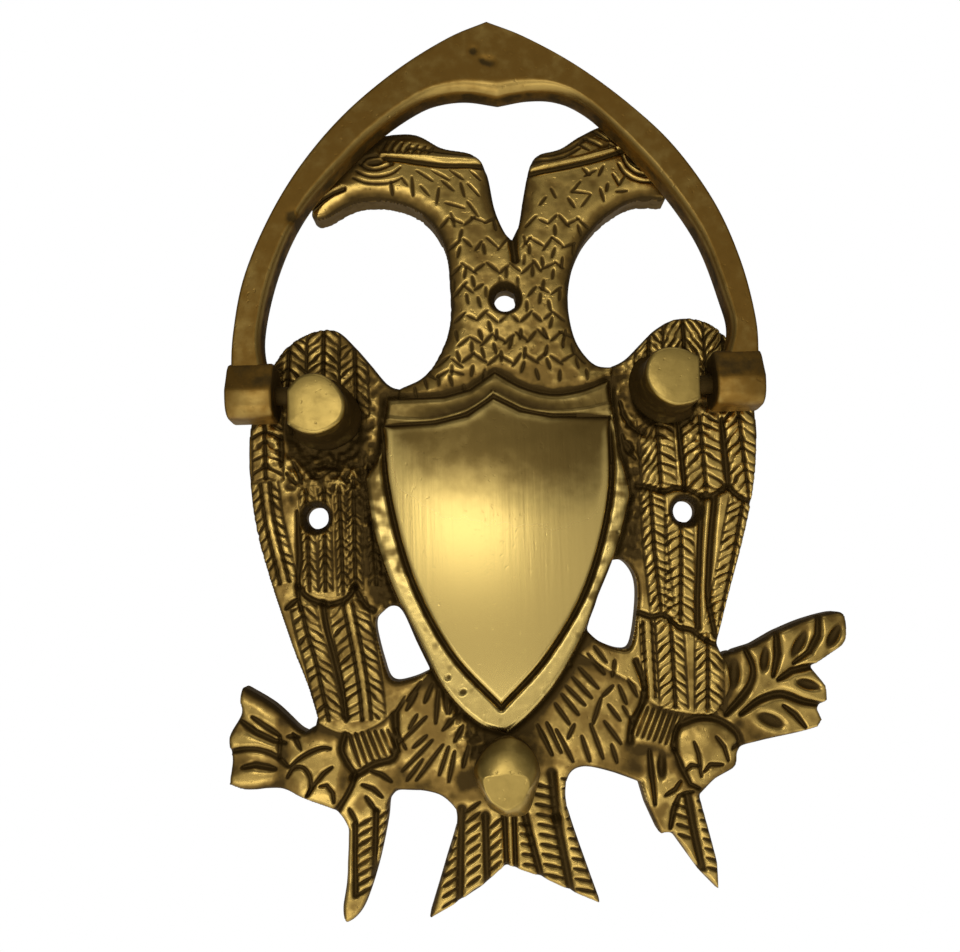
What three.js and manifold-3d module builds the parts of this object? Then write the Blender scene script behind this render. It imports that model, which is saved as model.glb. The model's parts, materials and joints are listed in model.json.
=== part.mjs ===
// Cast brass door knocker: a double-headed eagle back plate with a pointed bail that swings on two pins.
//
// Millimetres. +X right, +Z up, -Y out of the door. The door's surface is the plane y = 0, and the origin
// lies in it, midway between the screw holes in the two wings.
import * as THREE from 'three';
import * as BufferGeometryUtils from 'three/addons/utils/BufferGeometryUtils.js';
import Module from 'manifold-3d';

// ---- Driving dimensions ----
const HEAD_THICKNESS = 7.4;
const WING_THICKNESS = 6.3;
const LOWER_THICKNESS = 5.5;
const SHIELD_RIM_THICKNESS = 7.6;
const SHIELD_CROWN = 9.4;
const SHIELD_DOME_RADII = [59, 20, 85]; // across, in depth, upright
const EDGE_BEVEL = 0.7;

const SCREW_HOLE_RADIUS = 2.5;
const SCREW_SINK_RADIUS = 3.9;
const SCREW_SINK_DEPTH = 1.5;

const HINGE_STANDOFF = 13.5; // from the door to the hinge axis
const HINGE_HEIGHT = 26.3;
const PIN_RADIUS = 2;
const BORE_RADIUS = 2.08;
const RAISED_LEAN = 2.2; // degrees that the raised bail leans back onto the eagle's heads

const BAIL_THICKNESS = 7;
const BAIL_BEVEL = 1;
const BLOCK_SIDES = { left: [-57.8, -47.9], right: [46.2, 56.4] };
const PIN_DEPTH_IN_BLOCK = 7;

const LUG_FACE_STANDOFF = 20;
const RIVET_RADIUS = 3.4;
const RIVET_HEAD_RADIUS = 5;
const RIVET_HEAD_DEPTH = 1.6;
const SEAT_GAP = 0.3; // between a riveted piece and the plate

const STUD_CENTRE = [-0.6, -56.8];
const STUD_FACE_STANDOFF = 14;
const STUD_BASE_RADIUS = 8.4;
const STUD_FACE_RADIUS = 6.2;

const ROUND = 32; // sides of a faceted circle
const CURVE_STEP = 1.8; // spacing of the points along a curved outline

// ---- Outlines, as [x, z] ----
// Each outline is a closed chain of stretches. A curve runs smoothly through the points of a stretch,
// and two stretches meet at a corner.

const HEADS = [
  [[-22, 28.9], [-16.4, 31.6], [-12.5, 37.1], [-10.3, 44], [-10.1, 52], [-10.9, 60.5], [-14, 67],
    [-19, 70.8], [-26, 72.7], [-32, 72], [-37.9, 68.9]],
  [[-37.9, 68.9], [-40, 68.4], [-41.5, 69.6]],
  [[-41.5, 69.6], [-40.8, 75], [-37, 81], [-31, 86], [-24, 88.3], [-17, 88.3], [-11, 85], [-4, 83.2],
    [-1, 79], [0.6, 70.4], [2.7, 64.8], [4.3, 63.1]],
  [[4.3, 63.1], [5.9, 66.1], [7.4, 74], [8.9, 80], [11, 82.7], [16, 84], [21, 87], [27, 89.2], [33, 86.5],
    [38.3, 80.5], [40.2, 75], [39.9, 70.8]],
  [[39.9, 70.8], [34, 71.1], [29.4, 69.5], [24.5, 66], [20.3, 61], [17.5, 54], [16.7, 46.5], [18.2, 38.6],
    [22, 33.4], [26, 32.4]],
  [[26, 32.4], [25, 15], [-25, 15], [-22, 28.9]],
];

const LEFT_WING = [
  [[-19, 30], [-21.5, 28.9], [-24.6, 30], [-28.5, 34.8], [-32.1, 39.1], [-36.2, 42.8], [-41.5, 42.6],
    [-47.5, 39.1], [-52.5, 31.5], [-55.6, 22], [-56.1, 12], [-54.7, -1.1], [-51.5, -13.4], [-46.7, -28],
    [-43.4, -36.7], [-41.2, -44.4]],
  [[-41.2, -44.4], [-37.5, -46.3], [-33.5, -47], [-28, -45], [-24, -42]],
  [[-24, -42], [-12, -30], [-10, 10], [-19, 30]],
];

const RIGHT_WING = [
  [[20, 35], [23.6, 32.5], [28.4, 33.8], [32.4, 37.4], [36.4, 41.1], [41.5, 43.4], [47.9, 42.4],
    [52.8, 38], [56.3, 30.5], [57.8, 21.9], [57.8, 13.2], [56.2, 2.7], [53.4, -7.8], [49.7, -19.3],
    [46.6, -29.6]],
  [[46.6, -29.6], [49, -38], [45, -44.7], [40.4, -44.8], [32.5, -42.7], [28, -38]],
  [[28, -38], [14, -30], [10, 10], [20, 35]],
];

const SHIELD = [
  [[-24.8, 26.2], [-12, 26.5], [-6.1, 28], [-0.5, 31.8]],
  [[-0.5, 31.8], [5.6, 28.2], [12, 26.4], [18.5, 27], [25, 29.2]],
  [[25, 29.2], [26.5, 14]],
  [[26.5, 14], [28.5, 5.4], [28.2, 1.3], [24.3, -11.1], [18.7, -23.9], [11.8, -35.8], [5.4, -43.1],
    [-0.3, -47.6]],
  [[-0.3, -47.6], [-6.6, -45], [-13.6, -37.6], [-19.5, -25.7], [-24.4, -15.5], [-28.3, -2.9],
    [-29.9, 8.7]],
  [[-29.9, 8.7], [-26.5, 14], [-24.8, 26.2]],
];

const SHIELD_PANEL = [
  [[-26, 20.5], [-25, 6.3], [-20.3, -12.8], [-12, -29.6], [-1.2, -42]],
  [[-1.2, -42], [9.2, -31], [18.4, -16.1], [24.2, 3.1], [25.2, 21.3]],
  [[25.2, 21.3], [12, 21.4], [5, 22.8], [-1, 26]],
  [[-1, 26], [-7, 22], [-14, 20.6], [-26, 20.5]],
];

// The claws, the ribboned bundle, the laurel sprig, the two long feathers and the tail.
const LOWER_BODY = [
  [[-38, -20], [-41.5, -43.5], [-42.3, -45.3], [-43.8, -46.2], [-45.4, -45.6], [-50.9, -40.4],
    [-57.8, -36.1]],
  [[-57.8, -36.1], [-58.4, -39], [-58, -42], [-60.8, -47.2], [-60.1, -51.8], [-60.7, -57.1]],
  [[-60.7, -57.1], [-56.7, -58.4], [-49.6, -58.2], [-44.6, -60.4], [-37.5, -63.4], [-34.9, -67.1]],
  [[-34.9, -67.1], [-35.4, -77.5], [-36.4, -84], [-35.4, -86.6], [-31.8, -83.5], [-28.8, -75.6],
    [-26.5, -66], [-25.9, -61.4], [-24.3, -59.3]],
  [[-24.3, -59.3], [-18, -59.7], [-13.8, -61.4], [-11.4, -65.6], [-14.3, -75.3], [-18, -86.4]],
  [[-18, -86.4], [-11.7, -83.1], [-5.1, -79.1], [-1.2, -75.6]],
  [[-1.2, -75.6], [6.2, -78.3], [12.7, -81.5], [19, -84.2]],
  [[19, -84.2], [16.5, -76.7], [13.1, -66], [12.2, -61], [13.4, -56.7], [16.5, -55.4], [21.7, -56.5],
    [28.3, -58.9]],
  [[28.3, -58.9], [29.6, -63.9], [32.2, -70]],
  [[32.2, -70], [34.8, -69.8], [40.2, -77.7], [44.4, -82.1]],
  [[44.4, -82.1], [44.5, -76.6], [42.9, -69.3], [41.2, -62]],
  [[41.2, -62], [44.6, -58.7], [49.1, -56.2], [50.2, -52.4], [54.6, -51.1], [64, -49.3], [67.6, -48.4]],
  [[67.6, -48.4], [68.8, -46.7], [67.8, -44.3]],
  [[67.8, -44.3], [70.2, -42.6], [70, -39.4], [67, -35.4]],
  [[67, -35.4], [71.3, -32.8], [74.7, -30], [75.3, -25.2], [73.6, -23.5], [66.4, -25], [59.7, -27.5]],
  [[59.7, -27.5], [54.6, -30.2], [46.4, -32.4]],
  [[46.4, -32.4], [38, -20], [-38, -20]],
];

const LEFT_WINDOW = [
  [[-28.2, -22], [-25.3, -19.7], [-22.6, -20.4], [-19.2, -27.9], [-16.4, -33.8]],
  [[-16.4, -33.8], [-20.5, -35.4], [-24.9, -35.7], [-26.8, -31], [-28.3, -24.5], [-28.2, -22]],
];

const RIGHT_WINDOW = [
  [[24.3, -11], [26.8, -10.8], [29.3, -14.5], [29.5, -20.2], [27.8, -29.2], [25.2, -30.3],
    [20.7, -28.5], [18.1, -26.1]],
  [[18.1, -26.1], [20.7, -18.6], [24.3, -11]],
];

const SCREW_HOLES = [[2.4, 48.7], [-41.1, 0.4], [41.1, -0.4]];

// A lug's face has one flat side, which faces its block of the bail.
const LEFT_LUG = [
  [[-44.5, 19.2], [-44.6, 26.5]],
  [[-44.6, 26.5], [-42, 29.3], [-38, 29.9], [-34.4, 27.6], [-32.3, 23.6], [-33.3, 19.6], [-37.4, 17.1],
    [-41.3, 17.4], [-44.5, 19.2]],
];
const RIGHT_LUG = [
  [[42.6, 31.2], [42.4, 22.2]],
  [[42.4, 22.2], [40, 21.2], [36.3, 21], [32.7, 23.5], [31, 27.4], [32, 31.4], [35, 33.3], [39, 33.1],
    [42.6, 31.2]],
];
const LEFT_RIVET = [-38.4, 23.5];
const RIGHT_RIVET = [36.8, 27.2];

// The bail as it stands when raised: its outer edge, then its inner edge.
const BAIL_OUTER = [
  [[-57.2, 30], [-56.8, 39.5], [-54.6, 52], [-49.3, 65.4], [-42, 77.9], [-32.4, 89.5], [-20.7, 99.6],
    [-9, 107.1], [-0.2, 110.9]],
  [[-0.2, 110.9], [8.3, 106.9], [19.7, 99.6], [31, 90.1], [40.6, 79.7], [48.7, 66.4], [53.6, 52.8],
    [56, 39.5], [56, 30]],
];
const BAIL_INNER = [
  [[48, 30], [50.6, 38], [49.4, 45.5], [45, 59.4], [36.6, 73.2], [26, 86], [20, 91.3], [14.5, 93.6],
    [8.5, 93.8], [2, 92.6]],
  [[2, 92.6], [-5, 94], [-11, 93.6], [-16, 91.8], [-23, 87.2], [-30, 81], [-41.2, 68.3], [-47.6, 54.8],
    [-50.8, 40], [-49.6, 30]],
];

// ---- Helpers ----
const wasm = await Module();
wasm.setup();
const FRONT = new THREE.Matrix4().makeRotationX(Math.PI / 2); // turns a drawn outline to face -Y

/** Points along a chain of stretches, without the repeated corner points. */
function chain(stretches) {
  return stretches.flatMap((points) => {
    const corners = points.map(([x, z]) => new THREE.Vector2(x, z));
    if (corners.length < 5) return corners.slice(0, -1);
    const curve = new THREE.SplineCurve(corners);
    return curve.getSpacedPoints(Math.ceil(curve.getLength() / CURVE_STEP)).slice(0, -1);
  });
}

/** A prism with the given outline from depth `back` to depth `front` before the door. */
function slab(points, back, front, bevel = 0) {
  const geometry = new THREE.ExtrudeGeometry(new THREE.Shape(points), {
    depth: front - back - 2 * bevel,
    steps: 1,
    bevelEnabled: bevel > 0,
    bevelThickness: bevel,
    bevelSize: bevel,
    bevelOffset: -bevel,
    bevelSegments: 1,
  });
  return solid(geometry.translate(0, 0, back + bevel).applyMatrix4(FRONT));
}

/** A turned body: [radius, depth] points from the door outwards, about the line through [x, z]. */
function turned(profile, [x, z], sides = ROUND) {
  const points = profile.map(([radius, depth]) => new THREE.Vector2(radius, depth));
  const geometry = new THREE.LatheGeometry(points, sides);
  geometry.rotateX(Math.PI).translate(x, 0, z);
  return solid(geometry);
}

/** A cylinder along X about the hinge axis. */
function acrossHinge(radius, from, to) {
  const geometry = new THREE.CylinderGeometry(radius, radius, to - from, ROUND);
  geometry.rotateZ(Math.PI / 2).translate((from + to) / 2, -HINGE_STANDOFF, HINGE_HEIGHT);
  return solid(geometry);
}

/** A closed geometry as a solid that can be joined and cut. */
function solid(geometry) {
  const bare = geometry.clone();
  bare.deleteAttribute('normal');
  bare.deleteAttribute('uv');
  const merged = BufferGeometryUtils.mergeVertices(bare, 1e-5);
  const mesh = new wasm.Mesh({
    numProp: 3,
    vertProperties: new Float32Array(merged.attributes.position.array),
    triVerts: new Uint32Array(merged.index.array),
  });
  return new wasm.Manifold(mesh);
}

function join(solids) {
  return solids.reduce((whole, next) => whole.add(next));
}

function cut(whole, cutters) {
  return cutters.reduce((left, cutter) => left.subtract(cutter), whole);
}

function toMesh(name, body, material) {
  const { vertProperties, triVerts } = body.getMesh();
  const geometry = new THREE.BufferGeometry();
  geometry.setAttribute('position', new THREE.BufferAttribute(vertProperties, 3));
  geometry.setIndex(new THREE.BufferAttribute(triVerts, 1));
  geometry.computeVertexNormals();
  const mesh = new THREE.Mesh(geometry, material);
  mesh.name = name;
  return mesh;
}

// ---- The cast back plate ----
function screwHole(centre, surface) {
  const sinkStart = surface - SCREW_SINK_DEPTH;
  return turned([[0, -1], [SCREW_HOLE_RADIUS, -1], [SCREW_HOLE_RADIUS, sinkStart],
    [SCREW_SINK_RADIUS, surface], [SCREW_SINK_RADIUS, surface + 3], [0, surface + 3]], centre);
}

function rivetHole(centre) {
  const shank = RIVET_RADIUS + SEAT_GAP;
  const head = RIVET_HEAD_RADIUS + SEAT_GAP;
  const step = RIVET_HEAD_DEPTH + SEAT_GAP;
  return turned([[0, -1], [head, -1], [head, step], [shank, step], [shank, 12], [0, 12]], centre);
}

function shieldDome() {
  const [acrossRadius, depthRadius, uprightRadius] = SHIELD_DOME_RADII;
  const dome = new THREE.SphereGeometry(1, 64, 48).scale(acrossRadius, depthRadius, uprightRadius);
  dome.translate(-1, depthRadius - SHIELD_CROWN, -6);
  const panel = slab(chain(SHIELD_PANEL), SHIELD_RIM_THICKNESS - 2, SHIELD_CROWN + 2);
  return panel.intersect(solid(dome));
}

function backPlate() {
  const behind = -3;
  const zones = [
    slab(chain(HEADS), behind, HEAD_THICKNESS, EDGE_BEVEL),
    slab(chain(LEFT_WING), behind, WING_THICKNESS, EDGE_BEVEL),
    slab(chain(RIGHT_WING), behind, WING_THICKNESS, EDGE_BEVEL),
    slab(chain(LOWER_BODY), behind, LOWER_THICKNESS, EDGE_BEVEL),
  ];
  const silhouette = join(zones).subtract(slab(chain(LEFT_WINDOW), behind - 1, 12))
    .subtract(slab(chain(RIGHT_WINDOW), behind - 1, 12));
  const shield = slab(chain(SHIELD), behind, SHIELD_RIM_THICKNESS, EDGE_BEVEL);
  const door = solid(new THREE.BoxGeometry(200, 20, 260).translate(0, 10, 0));
  return cut(join([silhouette, shield, shieldDome()]), [
    door,
    screwHole(SCREW_HOLES[0], HEAD_THICKNESS),
    screwHole(SCREW_HOLES[1], WING_THICKNESS),
    screwHole(SCREW_HOLES[2], WING_THICKNESS),
    rivetHole(LEFT_RIVET),
    rivetHole(RIGHT_RIVET),
    rivetHole(STUD_CENTRE),
  ]);
}

// ---- Riveted pieces ----
/** The shank that passes through the plate, with the head that its end is hammered into. */
function rivetShank(centre, top) {
  return turned([[0, 0.2], [RIVET_HEAD_RADIUS, 0.2], [RIVET_HEAD_RADIUS, RIVET_HEAD_DEPTH],
    [RIVET_RADIUS, RIVET_HEAD_DEPTH], [RIVET_RADIUS, top], [0, top]], centre);
}

function hingeLug(outline, rivet, boreFrom, boreTo) {
  const post = slab(chain(outline), WING_THICKNESS + SEAT_GAP, LUG_FACE_STANDOFF, EDGE_BEVEL);
  const whole = post.add(rivetShank(rivet, LUG_FACE_STANDOFF / 2));
  return whole.subtract(acrossHinge(BORE_RADIUS, boreFrom, boreTo));
}

function strikeStud() {
  const seat = LOWER_THICKNESS + SEAT_GAP;
  const knob = turned([[0, seat], [STUD_BASE_RADIUS, seat], [STUD_BASE_RADIUS - 0.5, seat + 5],
    [STUD_FACE_RADIUS, STUD_FACE_STANDOFF], [0, STUD_FACE_STANDOFF]], STUD_CENTRE, 12);
  return knob.add(rivetShank(STUD_CENTRE, seat + 1));
}

// ---- The bail and its pins ----
/** The block at one end of the bail, drawn from the side as [depth from the axis, height]. */
function bailBlock([from, to]) {
  const side = [[3.5, 6.4], [-3.3, 6.4], [-6, 0.6], [-5.2, -3.6], [-3.4, -5.4], [2.8, -5.6], [4.9, -3.4],
    [5.4, 0.4]];
  const shape = new THREE.Shape(side.map(([y, z]) => new THREE.Vector2(y, z)));
  const geometry = new THREE.ExtrudeGeometry(shape, { depth: to - from, bevelEnabled: false });
  const alongX = new THREE.Matrix4().makeBasis(
    new THREE.Vector3(0, 1, 0), new THREE.Vector3(0, 0, 1), new THREE.Vector3(1, 0, 0));
  return solid(geometry.applyMatrix4(alongX).translate(from, -HINGE_STANDOFF, HINGE_HEIGHT));
}

function knockerBail() {
  const outline = chain([...BAIL_OUTER, [[56, 30], [48, 30]], ...BAIL_INNER, [[-49.6, 30], [-57.2, 30]]]);
  const half = BAIL_THICKNESS / 2;
  const arch = slab(outline, HINGE_STANDOFF - half, HINGE_STANDOFF + half, BAIL_BEVEL);
  const leftTo = BLOCK_SIDES.left[1];
  const rightFrom = BLOCK_SIDES.right[0];
  const whole = join([arch, bailBlock(BLOCK_SIDES.left), bailBlock(BLOCK_SIDES.right)]);
  return cut(whole, [
    acrossHinge(BORE_RADIUS, leftTo - PIN_DEPTH_IN_BLOCK - SEAT_GAP, leftTo + 1),
    acrossHinge(BORE_RADIUS, rightFrom - 1, rightFrom + PIN_DEPTH_IN_BLOCK + SEAT_GAP),
  ]);
}

/** Leans a piece back by the raised bail's angle about the hinge axis. */
function leaned(mesh) {
  const pivot = new THREE.Group();
  pivot.position.set(0, -HINGE_STANDOFF, HINGE_HEIGHT);
  pivot.rotation.x = -THREE.MathUtils.degToRad(RAISED_LEAN);
  mesh.position.set(0, HINGE_STANDOFF, -HINGE_HEIGHT);
  pivot.add(mesh);
  return pivot;
}

// ---- Assembly ----
const agedBrass = new THREE.MeshStandardMaterial({ color: 0x6b5325, roughness: 0.42, metalness: 1 });
const bailBrass = new THREE.MeshStandardMaterial({ color: 0x7d6229, roughness: 0.35, metalness: 1 });
const bareBrass = new THREE.MeshStandardMaterial({ color: 0xb99a4e, roughness: 0.3, metalness: 1 });

const group = new THREE.Group();
group.name = 'eagle_door_knocker';
group.add(toMesh('back_plate', backPlate(), agedBrass));
group.add(toMesh('hinge_lug_left', hingeLug(LEFT_LUG, LEFT_RIVET, -50, -30), bareBrass));
group.add(toMesh('hinge_lug_right', hingeLug(RIGHT_LUG, RIGHT_RIVET, 28, 48), bareBrass));
group.add(toMesh('strike_stud', strikeStud(), bareBrass));
group.add(leaned(toMesh('knocker_bail', knockerBail(), bailBrass)));

const leftPin = acrossHinge(PIN_RADIUS, BLOCK_SIDES.left[1] - PIN_DEPTH_IN_BLOCK, -33.8);
const rightPin = acrossHinge(PIN_RADIUS, 32.5, BLOCK_SIDES.right[0] + PIN_DEPTH_IN_BLOCK);
group.add(leaned(toMesh('hinge_pin_left', leftPin, bareBrass)));
group.add(leaned(toMesh('hinge_pin_right', rightPin, bareBrass)));

export default group;
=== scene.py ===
"""Cast brass door knocker: the fine surface of each piece, its materials, and the studio.

Shapes are drawn in millimetres as (x, z), seen from the front, with the door at depth 0 and depth growing
towards the viewer. They become metres when a mesh is made.
"""
import json
import math

import bmesh
import bpy
import numpy as np
from mathutils import Matrix, Vector

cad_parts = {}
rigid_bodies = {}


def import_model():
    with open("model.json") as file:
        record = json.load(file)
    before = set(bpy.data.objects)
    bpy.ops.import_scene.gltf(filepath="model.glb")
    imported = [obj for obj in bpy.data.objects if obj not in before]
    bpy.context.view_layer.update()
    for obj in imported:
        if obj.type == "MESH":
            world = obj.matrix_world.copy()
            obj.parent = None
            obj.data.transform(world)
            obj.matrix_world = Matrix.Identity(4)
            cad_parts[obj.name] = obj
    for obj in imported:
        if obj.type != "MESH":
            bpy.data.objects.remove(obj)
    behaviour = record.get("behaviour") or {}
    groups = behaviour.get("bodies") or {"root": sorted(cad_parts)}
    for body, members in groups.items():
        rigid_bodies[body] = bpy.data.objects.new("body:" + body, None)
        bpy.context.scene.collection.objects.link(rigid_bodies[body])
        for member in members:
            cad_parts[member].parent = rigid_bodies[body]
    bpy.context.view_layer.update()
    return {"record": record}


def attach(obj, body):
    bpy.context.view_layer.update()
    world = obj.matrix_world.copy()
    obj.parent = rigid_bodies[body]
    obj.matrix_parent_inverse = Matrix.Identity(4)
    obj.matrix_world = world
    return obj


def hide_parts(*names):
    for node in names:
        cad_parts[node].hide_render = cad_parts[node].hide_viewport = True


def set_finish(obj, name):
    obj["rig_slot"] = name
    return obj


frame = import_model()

MM = 0.001

# ---- Driving dimensions, in mm ----
CELL = 0.22                 # grid step of the cast relief
FIELD_LOW = (-62.4, -88.2)
FIELD_HIGH = (77.0, 90.2)
REACH = 4.0                 # how far from a line its distance is worked out

# How hollow the metal counts as and how dark its colour is made (dirt and painted shade), at most on the rim
# and everywhere on the back.
RIM_MARKS = {"cavity": 0.05, "dirt_and_shade": 0.3}
BACK_MARKS = {"cavity": 0.0, "dirt_and_shade": 0.25}
BROW = 0.35                 # how far below the rim the side walls take their own colour

CAMERA_PLACE = (-0.004411, -0.22, -0.013565)    # in metres
CAMERA_LENS = 36.3
CAMERA_PITCH = math.atan(0.1033058)
CAMERA_ROLL = math.radians(1.6)

# How far each part of the casting stands off the door.
HEAD_DEPTH = 7.2
WING_DEPTH = 5.9
LOWER_DEPTH = 5.3
LEAST_DEPTH = 3.0
SHIELD_DEPTH = 7.5
SHIELD_CROWN = 9.3
EDGE_ROUND = 1.1            # radius of the casting's edges
FINE = 0.62                 # width and depth of the finest chased strokes
SHALLOW = 0.34

SCREW_HOLES = [(2.4, 48.7), (-41.1, 0.4), (41.1, -0.4)]
SCREW_HOLE_RADIUS = 2.5

BAIL = frame["record"]["behaviour"]["joints"][0]
HINGE_DEPTH = -BAIL["pos_m"][1] / MM
HINGE_HEIGHT = BAIL["pos_m"][2] / MM
RAISED_LEAN = math.radians(2.2)
BAIL_THICKNESS = 7.0
LEFT_BLOCK = (-57.9, -47.8)     # from and to, along X
RIGHT_BLOCK = (46.1, 56.5)
LEFT_PIN = (-54.9, -33.8)
RIGHT_PIN = (32.5, 53.2)

# ---- Outlines, as chains of stretches that meet at corners ----
HEADS = [
    [(-22, 28.9), (-16.4, 31.6), (-12.5, 37.1), (-10.3, 44), (-10.1, 52), (-10.9, 60.5), (-14, 67),
     (-19, 70.8), (-26, 72.7), (-32, 72), (-37.9, 68.9)],
    [(-37.9, 68.9), (-40, 68.4), (-41.5, 69.6)],
    [(-41.5, 69.6), (-40.8, 75), (-37, 81), (-31, 86), (-24, 88.3), (-17, 88.3), (-11, 85), (-4, 83.2),
     (-1, 79), (0.6, 70.4), (2.7, 64.8), (4.3, 63.1)],
    [(4.3, 63.1), (5.9, 66.1), (7.4, 74), (8.9, 80), (11, 82.7), (16, 84), (21, 87), (27, 89.2),
     (33, 86.5), (38.3, 80.5), (40.2, 75), (39.9, 70.8)],
    [(39.9, 70.8), (34, 71.1), (29.4, 69.5), (24.5, 66), (20.3, 61), (17.5, 54), (16.7, 46.5),
     (18.2, 38.6), (22, 33.4), (26, 32.4)],
    [(26, 32.4), (25, 15), (-25, 15), (-22, 28.9)],
]
LEFT_WING = [
    [(-19, 30), (-21.5, 28.9), (-24.6, 30), (-28.5, 34.8), (-32.1, 39.1), (-36.2, 42.8), (-41.5, 42.6),
     (-47.5, 39.1), (-52.5, 31.5), (-55.6, 22), (-56.1, 12), (-54.7, -1.1), (-51.5, -13.4),
     (-46.7, -28), (-43.4, -36.7), (-41.2, -44.4)],
    [(-41.2, -44.4), (-37.5, -46.3), (-33.5, -47), (-28, -45), (-24, -42)],
    [(-24, -42), (-12, -30), (-10, 10), (-19, 30)]]
RIGHT_WING = [
    [(20, 35), (23.6, 32.5), (28.4, 33.8), (32.4, 37.4), (36.4, 41.1), (41.5, 43.4), (47.9, 42.4),
     (52.8, 38), (56.3, 30.5), (57.8, 21.9), (57.8, 13.2), (56.2, 2.7), (53.4, -7.8), (49.7, -19.3),
     (46.6, -29.6)],
    [(46.6, -29.6), (49, -38), (45, -44.7), (40.4, -44.8), (32.5, -42.7), (28, -38)],
    [(28, -38), (14, -30), (10, 10), (20, 35)],
]
SHIELD = [
    [(-24.8, 26.2), (-12, 26.5), (-6.1, 28), (-0.5, 31.8)],
    [(-0.5, 31.8), (5.6, 28.2), (12, 26.4), (18.5, 27), (25, 29.2)],
    [(25, 29.2), (26.5, 14)],
    [(26.5, 14), (28.5, 5.4), (28.2, 1.3), (24.3, -11.1), (18.7, -23.9), (11.8, -35.8), (5.4, -43.1),
     (-0.3, -47.6)],
    [(-0.3, -47.6), (-6.6, -45), (-13.6, -37.6), (-19.5, -25.7), (-24.4, -15.5), (-28.3, -2.9),
     (-29.9, 8.7)],
    [(-29.9, 8.7), (-26.5, 14), (-24.8, 26.2)],
]
SHIELD_PANEL = [
    [(-26, 20.5), (-25, 6.3), (-20.3, -12.8), (-12, -29.6), (-1.2, -42)],
    [(-1.2, -42), (9.2, -31), (18.4, -16.1), (24.2, 3.1), (25.2, 21.3)],
    [(25.2, 21.3), (12, 21.4), (5, 22.8), (-1, 26)],
    [(-1, 26), (-7, 22), (-14, 20.6), (-26, 20.5)],
]
LOWER_BODY = [
    [(-38, -20), (-41.5, -43.5), (-42.3, -45.3), (-43.8, -46.2), (-45.4, -45.6), (-50.9, -40.4),
     (-57.8, -36.1)],
    [(-57.8, -36.1), (-58.4, -39), (-58, -42), (-60.8, -47.2), (-60.1, -51.8), (-60.7, -57.1)],
    [(-60.7, -57.1), (-56.7, -58.4), (-49.6, -58.2), (-44.6, -60.4), (-37.5, -63.4), (-34.9, -67.1)],
    [(-34.9, -67.1), (-35.4, -77.5), (-36.4, -84), (-35.4, -86.6), (-31.8, -83.5), (-28.8, -75.6),
     (-26.5, -66), (-25.9, -61.4), (-24.3, -59.3)],
    [(-24.3, -59.3), (-18, -59.7), (-13.8, -61.4), (-11.4, -65.6), (-14.3, -75.3), (-18, -86.4)],
    [(-18, -86.4), (-11.7, -83.1), (-5.1, -79.1), (-1.2, -75.6)],
    [(-1.2, -75.6), (6.2, -78.3), (12.7, -81.5), (19, -84.2)],
    [(19, -84.2), (16.5, -76.7), (13.1, -66), (12.2, -61), (13.4, -56.7), (16.5, -55.4), (21.7, -56.5),
     (28.3, -58.9)],
    [(28.3, -58.9), (29.6, -63.9), (32.2, -70)],
    [(32.2, -70), (34.8, -69.8), (40.2, -77.7), (44.4, -82.1)],
    [(44.4, -82.1), (44.5, -76.6), (42.9, -69.3), (41.2, -62)],
    [(41.2, -62), (44.6, -58.7), (49.1, -56.2), (50.2, -52.4), (54.6, -51.1), (64, -49.3),
     (67.6, -48.4)],
    [(67.6, -48.4), (68.8, -46.7), (67.8, -44.3)],
    [(67.8, -44.3), (70.2, -42.6), (70, -39.4), (67, -35.4)],
    [(67, -35.4), (71.3, -32.8), (74.7, -30), (75.3, -25.2), (73.6, -23.5), (66.4, -25), (59.7, -27.5)],
    [(59.7, -27.5), (54.6, -30.2), (46.4, -32.4)], [(46.4, -32.4), (38, -20), (-38, -20)]]
LEFT_WINDOW = [
    [(-28.2, -22), (-25.3, -19.7), (-22.6, -20.4), (-19.2, -27.9), (-16.4, -33.8)],
    [(-16.4, -33.8), (-20.5, -35.4), (-24.9, -35.7), (-26.8, -31), (-28.3, -24.5), (-28.2, -22)],
]
RIGHT_WINDOW = [
    [(24.3, -11), (26.8, -10.8), (29.3, -14.5), (29.5, -20.2), (27.8, -29.2), (25.2, -30.3),
     (20.7, -28.5), (18.1, -26.1)],
    [(18.1, -26.1), (20.7, -18.6), (24.3, -11)],
]
LEFT_LUG = [
    [(-44.5, 19.2), (-44.6, 26.5)],
    [(-44.6, 26.5), (-42, 29.3), (-38, 29.9), (-34.4, 27.6), (-32.3, 23.6), (-33.3, 19.6),
     (-37.4, 17.1), (-41.3, 17.4), (-44.5, 19.2)]]
RIGHT_LUG = [
    [(42.6, 31.2), (42.4, 22.2)],
    [(42.4, 22.2), (40, 21.2), (36.3, 21), (32.7, 23.5), (31, 27.4), (32, 31.4), (35, 33.3), (39, 33.1),
     (42.6, 31.2)],
]
BAIL_OUTER = [
    [(-57.2, 30), (-56.8, 39.5), (-54.6, 52), (-49.3, 65.4), (-42, 77.9), (-32.4, 89.5), (-20.7, 99.6),
     (-9, 107.1), (-0.2, 110.9)],
    [(-0.2, 110.9), (8.3, 106.9), (19.7, 99.6), (31, 90.1), (40.6, 79.7), (48.7, 66.4), (53.6, 52.8),
     (56, 39.5), (56, 30)],
]
BAIL_INNER = [
    [(-49.6, 30), (-50.8, 40), (-47.6, 54.8), (-41.2, 68.3), (-30, 81), (-23, 87.2), (-16, 91.8),
     (-11, 93.6), (-5, 94), (2, 92.6)],
    [(2, 92.6), (8.5, 93.8), (14.5, 93.6), (20, 91.3), (26, 86), (36.6, 73.2), (45, 59.4), (49.4, 45.5),
     (50.6, 38), (48, 30)],
]

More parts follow.
